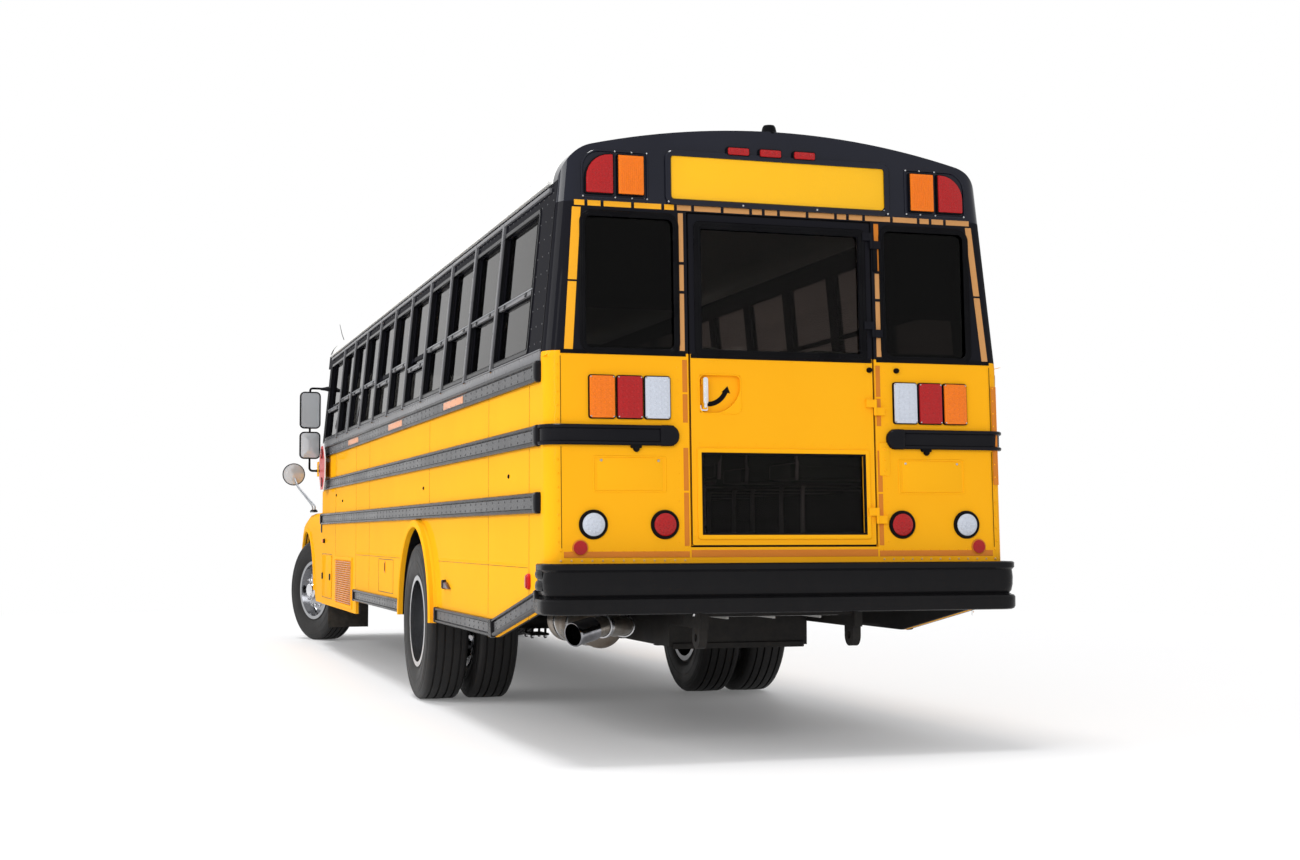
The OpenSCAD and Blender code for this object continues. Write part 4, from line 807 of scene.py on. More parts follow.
def door_trim():
    """Gaskets, frame, handle and arrow on the emergency door."""
    b = Build()
    n = Vector((-1, 0, 0))
    b.rim(on_rear, rounded(-0.462, 0.462, 1.975, 2.655, 0.03, 6), 0.036, -0.004, 0.010, gasket, 0.005)
    b.rim(on_rear, rounded(-0.440, 0.440, 1.993, 2.637, 0.02, 6), 0.006, 0.004, 0.013, gasket, 0.002)
    b.slab(on_rear, rounded(-0.486, 0.486, 1.966, 1.986, 0.004, 2), 0, 0.003, gasket, 0.001)
    # raised frame round the lower window
    b.rim(on_rear, rounded(-0.462, 0.462, 1.070, 1.522, 0.016, 5), 0.024, -0.002, 0.009, yellow_paint, 0.004)
    b.rim(on_rear, rounded(-0.444, 0.444, 1.088, 1.504, 0.012, 5), 0.016, -0.006, 0.006, gasket, 0.003)
    # door edge seal, a dark line all round
    b.rim(on_rear, rounded(-0.4925, 0.4925, 1.040, 2.692, 0.012, 4), 0.0035, -0.004, 0.0012, gasket, 0.0005)
    # handle pocket lining
    b.rim(on_rear, rounded(0.222, 0.447, 1.690, 1.890, 0.035, 7), 0.007, -0.003, 0.004, yellow_paint, 0.002)
    turn_y, turn_z, turn_r = 0.379, 1.847, 0.154
    turn = [(turn_y + turn_r * cos(radians(a)), turn_z + turn_r * sin(radians(a))) for a in range(180, 271, 10)]
    fill = [(0.2255, 1.6935)] + turn[::-1]
    b.steps(on_rear, lambda d=0.0: fill, [(0, -0.019), (0, 0.0015)], yellow_paint)
    # lever
    b.slab(on_rear, rounded(0.398, 0.440, 1.705, 1.735, 0.008), -0.018, -0.004, chrome, 0.003)
    path = bend([on_rear(0.419, 1.722, -0.010), on_rear(0.419, 1.722, 0.020), on_rear(0.417, 1.86, 0.022)],
                0.02, 6)
    b.tube(path, [0.008] * 4 + [0.010] * (len(path) - 5) + [0.006], chrome, 12)
    b.slab(on_rear, rounded(0.404, 0.432, 1.735, 1.872, 0.013), 0.014, 0.026, chrome, 0.006)
    # curved arrow, plain black
    cy, cz, r, k = 0.395, 1.845, 0.105, 0.0120
    ring = []
    for i in range(15):
        a = radians(-98 + 76 * i / 14)
        ring.append((cy - r * cos(a) * 0.98, cz + r * sin(a), a))
    pts = [(y - k * cos(a), z + k * sin(a)) for y, z, a in ring] + [(y + k * cos(a), z - k * sin(a)) for y, z,
                                                                    a in ring[::-1]]
    b.steps(on_rear, outline(pts), [(0, -0.021), (0, -0.0185)], gasket)
    y, z, a = ring[-1]
    b.steps(on_rear, outline([(y - 0.024, z - 0.010), (y + 0.021, z - 0.004), (y - 0.010, z + 0.026)]),
            [(0, -0.021), (0, -0.0180)], gasket)
    # rivets along the stiffening press lines
    for z in (1.545, 1.955):
        y = -0.45
        while y < 0.46:
            b.dome(on_rear(y, z, 0), n, 0.0045, yellow_paint, 0.002, 6)
            y += 0.1
    b.done("emergency_door_trim", "emergency_door", (), 32)


door_trim()


# ---------------------------------------------------------------- sides
def side_windows():
    """Posts, sashes, sills and drip rail of the window band."""
    b = Build()
    lowered = {4: 2.262, 6: 2.275, 10: 2.290}  # sashes that stand a little lower
    for s in (1, -1):
        side = on_side(s)
        posts = [first_post + pitch * i for i in range(10)]
        last = 3.294 if s > 0 else 2.414  # the entry door takes the right side's front bay
        for i, x in enumerate(posts):
            if s < 0 and x > 2.45:
                continue
            b.bar(lambda z, a, w, x=x: side(x + a, z, w), [(-0.016, 0), (-0.016, 0.013), (-0.011, 0.016),
                                                           (0.011, 0.016), (0.016, 0.013), (0.016, 0)],
                  [(1.992, 1), (2.815, 1)], band_grey)
            for z in (2.03, 2.20, 2.62, 2.77):
                b.dome(side(x, z, 0.0155), (0, s, 0), 0.005, rivet_dark, 0.002, 6)
        bays = [(-5.306, -4.479)] + [(x + 0.03, x + pitch - 0.03) for x in posts[:-1]] + [(2.3985, 3.294)]
        for i, (x0, x1) in enumerate(bays):
            if x1 > last + 0.01:
                continue
            mid = lowered.get(i, 2.330)
            b.rim(side, rounded(x0 - 0.004, x1 + 0.004, 2.005, 2.750, 0.030), 0.026, -0.012, 0.006, trim_black,
                  0.003)
            b.rim(side, rounded(x0 + 0.018, x1 - 0.018, 2.027, 2.728, 0.016), 0.005, -0.004, 0.0085, gasket,
                  0.002)
            b.slab(side, rounded(x0 + 0.012, x1 - 0.012, mid - 0.016, mid + 0.012, 0.003, 2), -0.012, 0.004,
                   band_grey, 0.002)
            b.slab(side, rounded(x0 + 0.012, x1 - 0.012, mid + 0.006, mid + 0.013, 0.002, 2), 0.0, 0.009,
                   sash_metal, 0.002)
            b.slab(side, rounded(x0 + 0.03, x1 - 0.03, mid + 0.014, mid + 0.020, 0.002, 2), -0.008, 0.001,
                   gasket, 0.001)
            for x in (x0 + 0.16, x1 - 0.16):  # sash latches
                b.slab(side, rounded(x - 0.02, x + 0.02, mid - 0.014, mid + 0.004, 0.004, 2), 0.002, 0.009,
                       trim_black, 0.002)
        end = last + 0.06
        b.slab(side, rounded(-5.60, end, 1.936, 1.993, 0.003, 2), 0, 0.007, band_grey, 0.002)
        b.slab(side, rounded(-5.60, end, 1.993, 2.001, 0.002, 2), 0, 0.010, band_grey, 0.002)
        b.slab(side, rounded(-5.50, end, 2.796, 2.818, 0.003, 2), 0, 0.014, band_grey, 0.003)
        x = -5.55
        while x < end:
            b.dome(side(x, 1.981, 0.006), (0, s, 0), 0.004, rivet_dark, 0.002, 6)
            b.dome(side(x, 2.783, 0.0), (0, s, 0), 0.0045, rivet_dark, 0.002, 6)
            x += 0.1
        for x in (-5.565, -5.44, -5.335):  # riveted rear quarter panel
            for k in range(9):
                b.dome(side(x, 2.04 + k * 0.088, 0), (0, s, 0), 0.0045, rivet_dark, 0.002, 6)
        b.slab(side, rounded(-5.602, -5.597, 2.0, 2.72, 0.002, 1), 0, 0.002, gasket, 0.001)
    b.done("window_frames", "bus", (), 32)


side_windows()


def skirts():
    """Skirt rails, seams, rivets, doors and fittings low on the sides."""
    b = Build()
    rail_z = 0.5925
    d = Vector((-5.606 + 4.559, 0.733 - 0.544)).normalized()
    for s in (1, -1):
        side = on_side(s)
        rail = [(a * 0.93, w) for a, w in channel]
        for x0, x1 in ((-4.530, -2.850), (-1.440, 1.010)):
            b.bar(side, [(rail_z + a, w) for a, w in rail], [(x0, 1), (x1, 1)], trim_black)
            b.bar(side, [(rail_z - 0.025, 0), (rail_z - 0.025, 0.0145), (rail_z + 0.025, 0.0145),
                         (rail_z + 0.025, 0)],
                  [(x0 + 0.04, 1), (x1 - 0.04, 1)], rail_face)
            x = x0 + 0.08
            while x < x1 - 0.05:
                for dz in (-0.014, 0.014):
                    b.dome(side(x, rail_z + dz, 0.0135), (0, s, 0), 0.0075, rivet_dark, 0.004, 6)
                x += 0.13
            for xe in (x0, x1):
                b.slab(side, rounded(xe - 0.02, xe + 0.02, rail_z - 0.049, rail_z + 0.049, 0.008), 0, 0.027,
                       trim_black, 0.006)

        def climb(t, a, w):
            p = Vector((-4.559, rail_z)) + d * t + Vector((d.y, -d.x)) * -a
            return side(p.x, p.y, w)

        b.bar(climb, [(a, w) for a, w in rail], [(0.0, 1), (1.045, 1)], trim_black)
        b.bar(climb, [(-0.025, 0), (-0.025, 0.0145), (0.025, 0.0145), (0.025, 0)], [(0.05, 1), (1.0, 1)],
              rail_face)
        for k in range(8):
            for a in (-0.014, 0.014):
                b.dome(climb(0.1 + 0.12 * k, a, 0.0135), (0, s, 0), 0.0075, rivet_dark, 0.004, 6)
        for t in (0.0, 1.045):
            b.slab(lambda u, v, w: climb(t + u, v, w), rounded(-0.022, 0.022, -0.050, 0.050, 0.009), 0, 0.027,
                   trim_black, 0.006)
        # seams
        for x in (-5.364, -4.386, -2.521, 0.224, 1.014, 2.40) if s > 0 else (-5.364, -4.386, -2.9, -1.0, 0.90,
                2.35):
            for z0, z1 in ((1.63, 1.84), (1.30, 1.525), (0.66, 1.198)):
                if z0 < 0.7 and -2.85 < x < -1.4:
                    continue
                b.slab(side, rounded(x - 0.0012, x + 0.0012, z0, z1, 0.001, 1), 0, 0.0009, gasket, 0.0004)
                z = z0 + 0.02
                while z < z1:
                    b.dome(side(x - 0.018, z, 0), (0, s, 0), 0.0035, yellow_paint, 0.0016, 5)
                    z += 0.06
        # riveted seam over the skirt
        for x0, x1 in ((-5.34, -2.86), (-1.40, 1.0), (1.1, 2.35)):
            if s > 0 and x0 > 1:
                continue
            b.slab(side, rounded(x0, x1, 0.9295, 0.9315, 0.001, 1), 0, 0.0009, gasket, 0.0004)
            x = x0 + 0.02
            while x < x1:
                b.dome(side(x, 0.945, 0), (0, s, 0), 0.005, yellow_paint, 0.0025, 6)
                x += 0.052
        # luggage or battery door with a slot latch
        b.rim(side, rounded(-1.02, -0.30, 0.665, 0.915, 0.010, 3), 0.004, 0, 0.0014, gasket, 0.0005)
        b.slab(side, rounded(-0.640, -0.612, 0.812, 0.898, 0.010), 0, 0.004, orange_tape, 0.001)
        b.slab(side, rounded(-0.631, -0.621, 0.825, 0.885, 0.004), 0.003, 0.007, gasket, 0.001)
        # fuel filler catch, dark red and three-cornered
        b.steps(side, outline([(-3.29, 0.765), (-3.06, 0.765), (-3.09, 0.812), (-3.20, 0.800)]),
                [(0, 0), (0, 0.012), (0.006, 0.020)], maroon)
        b.slab(side, rounded(-3.13, -3.07, 0.762, 0.818, 0.012), 0, 0.022, gasket, 0.006)
        for x, z in ((-2.30, 1.405), (1.90, 1.400), (2.35, 1.46), (-4.9, 1.40)):
            b.dome(side(x, z, 0), (0, s, 0), 0.012, gasket, 0.009, 12)
        # black liner inside the arch, and the arch lip
        liner_r, lip_r = 0.606, 0.612 + 0.012
        b.skin([[Vector((rear_wheel_x + liner_r * cos(pi * i / 40), s * w, arch_z + liner_r * sin(pi * i / 40)))
                 for w in (0.93, 1.228)] for i in range(41)], gasket, closed=False)
        lip = [(rear_wheel_x + lip_r * cos(pi * i / 40), arch_z + lip_r * sin(pi * i / 40)) for i in range(41)]
        rings = []
        for i, (x, z) in enumerate(lip):
            c = Vector((cos(pi * i / 40), sin(pi * i / 40)))
            rings.append([side(x + c.x * u, z + c.y * u, w) for u, w in
                          ((-0.014, 0.0), (-0.014, 0.040), (-0.008, 0.046), (0.004, 0.046), (0.012, 0.040),
                           (0.034, 0.014), (0.040, 0.0))])
        b.skin(rings, yellow_paint)
    # louvred panel and box, left side only
    side = on_side(1)
    b.rim(side, rounded(1.229, 2.373, 0.462, 0.905, 0.008, 3), 0.030, 0, 0.010, yellow_paint, 0.003)
    z = 0.498
    while z < 0.872:
        b.steps(side, outline([(1.275, z), (2.327, z), (2.327, z + 0.013), (1.275, z + 0.013)]),
                [(0, 0.0), (0.001, 0.004), (0.003, 0.012)], louvre_paint)
        z += 0.0187
    b.rim(side, rounded(2.654, 3.410, 0.50, 0.918, 0.010, 3), 0.004, 0, 0.0014, gasket, 0.0005)
    b.slab(side, rounded(2.672, 3.392, 0.515, 0.903, 0.008, 3), 0, 0.006, yellow_paint, 0.003)
    for x in (2.74, 3.33):
        b.slab(side, rounded(x - 0.025, x + 0.025, 0.675, 0.735, 0.010), 0.005, 0.016, gasket, 0.004)
    b.done("skirt_trim", "bus", (), 32)


skirts()


def roof_details():
    """Roof bows, gutters, the black fitting at the rear and the aerial at the front left."""
    b = Build()
    tree = shell("roof")
    rows = []
    for i in range(49):
        a = pi * i / 48
        aim = Vector((0, -cos(a), sin(a)))
        p = tree.ray_cast(Vector((0.5, 0, 2.845)) + aim * 4, -aim)[0]
        if p and p.z > 2.850:
            rows.append((Vector((p.y, p.z)), Vector((aim.y, aim.z))))
    if rows:
        for k in range(12):
            x = first_post - pitch + 0.40 + pitch * k
            if x > 3.2 or x < -5.4:
                continue
            for q in (-0.030, 0.030):
                rings = [[Vector((x + q + u, p.x + c.x * w, p.y + c.y * w)) for u,
                          w in ((-0.008, -0.002), (-0.005, 0.004), (0.005, 0.004), (0.008, -0.002))]
                         for p, c in rows]
                b.skin(rings, roof_white)
            for p, c in rows[::2]:
                b.dome(Vector((x, p.x, p.y)), (0, c.x, c.y), 0.006, roof_white, 0.003, 6)
    for s in (1, -1):
        side = on_side(s)
        b.bar(side, [(2.838, -0.004), (2.838, 0.020), (2.846, 0.024), (2.854, 0.020), (2.850, 0.010),
                     (2.862, -0.004)], [(-5.48, 1), (3.44, 1)], roof_white)
    # black fitting on the roof at the rear
    c = Vector((-5.62, 0.03, 3.128))
    b.lathe(c, (0, 0, 1), [(0.050, 0), (0.050, 0.008), (0.040, 0.014), (0.034, 0.040), (0.028, 0.050),
                           (0.0005, 0.053)], gasket, 28)
    # aerial at the front left
    b.lathe((3.30, 1.02, 2.93), (0, 0.25, 1), [(0.024, 0), (0.022, 0.02), (0.008, 0.05)], gasket, 16)
    b.tube([(3.30, 1.03, 2.96), (3.32, 1.06, 3.05), (3.34, 1.08, 3.15)], [0.004, 0.003, 0.002], gasket, 8)
    b.done("roof_trim", "bus", (), 40)


roof_details()


# ---------------------------------------------------------------- wheels
def tread_profile():
    """Tyre section from the inner bead, over the tread, to the outer bead."""
    wall = [(0.287, 0.098), (0.291, 0.106), (0.300, 0.110), (0.306, 0.117), (0.312, 0.118), (0.316, 0.115),
            (0.330, 0.124), (0.352, 0.132), (0.385, 0.1375), (0.400, 0.1375), (0.4015, 0.1392),
            (0.4045, 0.1392), (0.406, 0.1378), (0.430, 0.1382), (0.455, 0.137), (0.4565, 0.1385),
            (0.4595, 0.1383), (0.461, 0.1365), (0.474, 0.134), (0.4755, 0.1355), (0.4785, 0.1345),
            (0.480, 0.132), (0.494, 0.129), (0.506, 0.122), (0.514, 0.113), (0.5175, 0.106)]
    crown, cuts = [], [0.079, 0.028, -0.028, -0.079]
    for c in cuts:
        crown += [(0.5175 + 0.0025 * (1 - abs(c + 0.0075) / 0.1), c + 0.0065), (0.506, c + 0.0045),
                  (0.505, c + 0.002), (0.505, c - 0.002), (0.506, c - 0.0045),
                  (0.5175 + 0.0025 * (1 - abs(c - 0.0075) / 0.1), c - 0.0065)]
        if c != cuts[-1]:
            crown.append((0.5175 + 0.0025 * (1 - abs(c - 0.025) / 0.1), c - 0.025))
    return wall + crown + [(r, -h) for r, h in wall[::-1]]


section = tread_profile()


def tyre_set(name, node, body, centres, axis):
    b = Build()
    for c in centres:
        b.lathe(c, axis, section, tyre, 96)
        u = Vector(axis).normalized()
        side = u.orthogonal().normalized()
        up = u.cross(side)
        for k in range(64):  # small cuts along the tread edges
            a = 2 * pi * k / 64
            d, t = side * cos(a) + up * sin(a), up * cos(a) - side * sin(a)
            for s in (1, -1):
                o = Vector(c) + u * (s * 0.118)
                b.skin([[o + d * r + t * w + u * (s * q)
                         for w in (-0.0022, 0.0022)] + [o + d * (r + 0.0015) + t * w + u * (s * q)
                                                        for w in (0.0022, -0.0022)]
                        for r, q in ((0.5095, -0.012), (0.5075, 0.000), (0.499, 0.0075))], gasket)
    b.done(name, body, [node], 28)


lead = Vector((-sin(radians(21)), cos(radians(21)), 0))
front_hubs = {}
for s, tag in ((1, "left"), (-1, "right")):
    lo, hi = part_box("front_tyre_" + tag)
    front_hubs[tag] = (lo + hi) / 2
    tyre_set("front_tyre_tread_" + tag, "front_tyre_" + tag, "wheel_front_" + tag, [front_hubs[tag]], lead)
    tyre_set("rear_tyre_tread_" + tag, "rear_tyres_" + tag, "wheels_rear_" + tag,
             [(rear_axle.x, s * 1.105, 0.52), (rear_axle.x, s * 0.775, 0.52)], (0, 1, 0))


def hub_set(name, node, body, centre, axis, bolt_r, hub, cover):
    """Wheel nuts, stud ends and the hub in the middle of a wheel."""
    b = Build()
    tree = shell(node)
    w = Vector(axis).normalized()
    side = w.orthogonal().normalized()
    up = w.cross(side)
    for i in range(10):
        a = 2 * pi * i / 10 + 0.1
        d = side * cos(a) + up * sin(a)
        p = tree.ray_cast(Vector(centre) + d * bolt_r + w * 0.6, -w)[0]
        if p is None:
            continue
        b.lathe(p, w, [(0.021, -0.001), (0.021, 0.003), (0.019, 0.005)], chrome, 18, True)
        b.lathe(p, w, [(0.0165, 0.004), (0.0165, 0.022), (0.0145, 0.025)], chrome, 6, True)
        b.lathe(p, w, [(0.0095, 0.02), (0.0095, 0.036), (0.007, 0.039)], screw_steel, 12, True)
    p = tree.ray_cast(Vector(centre) + side * (hub + 0.02) + w * 0.6, -w)[0]
    base = (p - Vector(centre)).dot(w) if p else 0.0
    b.lathe(Vector(centre) + w * base, w, cover, cast_grey if bolt_r < 0.16 else chrome, 40, True)
    for i in range(8):
        a = 2 * pi * i / 8
        d = side * cos(a) + up * sin(a)
        q = cover[-2]
        b.dome(Vector(centre) + w * (base + q[1]) + d * (q[0] * 0.78), w, 0.009, screw_steel, 0.007, 6)
    b.done(name, body, (), 30)


for s, tag in ((1, "left"), (-1, "right")):
    axis = lead * s
    hub_set("front_hub_trim_" + tag, "front_wheel_" + tag, "wheel_front_" + tag, front_hubs[tag], axis, 0.1675,
            0.09, [(0.105, -0.02), (0.105, 0.010), (0.092, 0.030), (0.084, 0.060), (0.070, 0.075),
                   (0.066, 0.092), (0.050, 0.098)])
    hub_set("rear_hub_trim_" + tag, "rear_wheels_" + tag, "wheels_rear_" + tag, (rear_axle.x, s * 1.105, 0.52),
            (0, s, 0), 0.1675, 0.09, [(0.108, -0.02), (0.108, 0.030), (0.098, 0.075), (0.094, 0.100),
                                      (0.078, 0.108)])


# ---------------------------------------------------------------- hood and front
def hood_shell():
    """Bonnet and fenders as one curved skin, open underneath."""
    b = Build()
    arch_r = 0.602

    def level(table, x):
        for (x0, v0), (x1, v1) in zip(table, table[1:]):
            if x <= x1:
                t = max(0.0, min(1.0, (x - x0) / (x1 - x0)))
                return v0 + (v1 - v0) * t
        return table[-1][1]

    top = [(3.49, 1.950), (4.0, 1.900), (4.7, 1.775), (5.20, 1.665), (5.436, 1.595), (5.58, 1.515),
           (5.65, 1.44), (5.684, 1.35)]
    wing = [(3.49, 1.335), (5.08, 1.335), (5.30, 1.300), (5.45, 1.262), (5.56, 1.205), (5.62, 1.110),
            (5.632, 1.0)]
    stations = [3.50, 3.60, 3.75, 4.0, 4.2, 4.36, 4.5, 4.7, front_wheel_x, 5.2, 5.4, 5.5, 5.56, 5.60, 5.626]

    def half_ring(x, low):
        h, w = level(top, x), level(wing, x)
        flare = 0.016 * max(0.0, 1 - abs(x - front_wheel_x) / 0.7)
        edge = 1.190 if x < 5.45 else 1.190 - (x - 5.45) ** 2 * 1.6
        hw = 0.705 if x < 5.4 else 0.705 - (x - 5.4) ** 2 * 0.8
        return [Vector((x, y, z)) for y, z in (
            (0.0, h), (0.12, h + 0.002), (0.28, h - 0.002), (0.44, h - 0.008), (0.56, h - 0.024),
                                               (0.64, h - 0.055), (hw - 0.012, h - 0.11),
                                               (hw + 0.002, h - 0.19), (hw + 0.010, w + (h - w) * 0.42),
                                               (hw + 0.022, w + (h - w) * 0.22), (hw + 0.055, w + 0.055),
                                               (hw + 0.11, w + 0.012), (0.90, w + 0.001), (1.00, w),
                                               (1.09, w - 0.010), (edge - 0.045, w - 0.032),
                                               (edge - 0.010, w - 0.085), (edge + flare * 0.5, w - 0.17),
                                               (edge + flare, max(low, w - 0.30)),
                                               (edge + flare * 0.6, (max(low, w - 0.30) + low) / 2),
                                               (edge, low))]

    def floor_at(x):
        r = abs(x - front_wheel_x)
        return max(0.430, arch_z + sqrt(arch_r ** 2 - r * r)) if r < arch_r else (0.430 if x < 4.4 else 0.740)

    xs = sorted(stations + [front_wheel_x + 0.600 * cos(pi * i / 18) for i in range(19)])
    xs = [x for i, x in enumerate(xs) if i == 0 or x - xs[i - 1] > 0.012]
    rings = []
    for x in xs:
        half = half_ring(x, floor_at(x))
        rings.append([Vector((p.x, -p.y, p.z)) for p in half[:0:-1]] + half)
    b.skin(rings, yellow_paint, closed=False)
    inner = [[Vector((p.x - 0.004, p.y * 0.985, p.z - 0.010 if p.z > 0.9 else p.z)) for p in r] for r in rings]
    b.skin(inner, gasket, closed=False)
    # nose panel round the grille and lamps
    for s in (1, -1):
        edge = rings[-1][len(rings[-1]) // 2:]
        mid = [Vector((5.690 - 0.030 * (abs(p.y) / 1.2) ** 2, p.y * 0.93,
                       min(p.z - 0.03, 1.33 + (p.z - 1.33) * 0.8))) for p in edge]
        low = [Vector((5.690 - 0.030 * (abs(p.y) / 1.2) ** 2, min(p.y * 0.80, 0.52) if p.z > 1.2
                       else max(0.52, p.y * 0.8), max(0.83, min(1.33, p.z - 0.08)))) for p in edge]
        flip = lambda ring: [Vector((p.x, s * p.y, p.z)) for p in ring]
        b.skin([flip(edge), flip(mid), flip(low)], yellow_paint, closed=False)
    for s in (1, -1):
        front = lambda y, z, w, s=s: Vector((5.694 - 0.030 * (y / 1.2) ** 2 + w, s * y, z))
        b.slab(front, rounded(0.53, 1.138, 0.745, 1.19, 0.06), -0.075, 0.006, yellow_paint, 0.01)
        b.rim(front, rounded(0.68, 1.07, 0.83, 1.09, 0.05), 0.030, 0.0, 0.016, trim_black, 0.005)
        b.slab(front, rounded(0.705, 1.045, 0.855, 1.065, 0.03), 0, 0.012, gasket, 0.004)
        for y in (0.797, 0.953):
            c = Vector((5.689, s * y, 0.96))
            b.lathe(c, (1, 0, 0), [(0.078, 0), (0.076, 0.010), (0.070, 0.012), (0.066, 0.004), (0.03, -0.008),
                                   (0.0005, -0.010)], chrome, 30)
            b.lathe(c, (1, 0, 0), [(0.072, 0.006), (0.066, 0.013), (0.030, 0.019), (0.0005, 0.021)],
                    clear_glass, 30)
        b.slab(front, rounded(1.080, 1.126, 0.86, 1.06, 0.014), 0, 0.018, amber_lens, 0.005)
        # fender lip, latch and seam
        lip = []
        for i in range(37):
            a = pi * i / 36
            d = Vector((cos(a), sin(a)))
            x, z = front_wheel_x + arch_r * d.x, arch_z + arch_r * d.y
            lip.append([Vector((x + d.x * u,
                                s * (1.188 + w + 0.016 * max(0.0, 1 - abs(x - front_wheel_x) / 0.7)),
                                z + d.y * u)) for u, w in
                        ((-0.006, -0.05), (-0.006, 0.006), (0.0, 0.012), (0.022, 0.012), (0.030, 0.0),
                         (0.030, -0.01))])
        b.skin(lip, yellow_paint)
        b.slab(lambda x, z, w, s=s: Vector((x, s * (1.196 + w), z)), rounded(3.53, 3.60, 1.12, 1.20, 0.01), 0,
               0.020, gasket, 0.005)
        b.tube([(3.56, s * 0.74, 1.52), (3.63, s * 0.745, 1.52), (3.72, s * 0.735, 1.50)], 0.010, gasket, 8)
        b.slab(lambda x, z, w, s=s: Vector((x, s * (0.722 + w), z)), rounded(3.70, 4.30, 1.46, 1.60, 0.02),
               -0.01, 0.006, gasket, 0.004)
        for k in range(6):
            z = 1.477 + 0.02 * k
            b.slab(lambda x, z1, w, s=s: Vector((x, s * (0.722 + w), z1)),
                   rounded(3.72, 4.28, z, z + 0.009, 0.003, 2), 0, 0.012, yellow_paint, 0.003)
    # centre crease of the bonnet
    b.skin([[Vector((x, y, level(top, x) + w + 0.001)) for y, w in ((-0.16, -0.004), (-0.12, 0.010),
                                                                    (0.12, 0.010), (0.16, -0.004))]
            for x in stations[1:-3]], yellow_paint, closed=False)
    # hinge arms
    for s in (1, -1):
        b.block((5.60, min(s * 0.4323, s * 0.466), 0.724), (5.726, max(s * 0.4323, s * 0.466), 0.750),
                chassis_black)
        b.lathe((5.726, s * 0.4323, 0.732), (0, s, 0), [(0.014, 0), (0.014, 0.0335)], chassis_black, 20, True)
    b.done("hood_skin", "tilting_hood", ["hood"], 42)


hood_shell()


def grille_set():
    b = Build()
    front = lambda y, z, w: Vector((5.664 + w + 0.012 * (1 - (y / 0.52) ** 2), y, z))

    def wide(u0, u1, v0, v1, w0, w1, finish):
        n = 14
        for k in range(n):
            a, c = u0 + (u1 - u0) * k / n, u0 + (u1 - u0) * (k + 1) / n
            b.steps(front, rounded(a, c + 0.0005, v0, v1, 0.0005, 1), [(0, w0), (0, w1)], finish)

    wide(-0.50, 0.50, 0.84, 1.32, -0.016, -0.006, gasket)
    b.rim(front, outline([(-0.52, 0.83), (-0.26, 0.83), (0, 0.83), (0.26, 0.83), (0.52, 0.83), (0.52, 1.33),
                          (0.26, 1.33), (0, 1.33), (-0.26, 1.33), (-0.52, 1.33)]),
          0.030, -0.012, 0.016, trim_black, 0.005)
    for k in range(6):
        z = 0.868 + 0.075 * k
        rings = []
        for i in range(15):
            y = -0.495 + 0.99 * i / 14
            rings.append([front(y, z + v, w) for v, w in ((-0.022, -0.006), (-0.018, 0.012), (-0.006, 0.018),
                                                          (0.012, 0.014), (0.020, 0.004), (0.016, -0.006))])
        b.skin(rings, trim_black)
    for y in (-0.25, 0.0, 0.25):
        b.slab(front, rounded(y - 0.006, y + 0.006, 0.85, 1.31, 0.003, 2), -0.008, 0.010, trim_black, 0.002)
    b.done("grille_bars", "tilting_hood", ["grille"], 35)


grille_set()


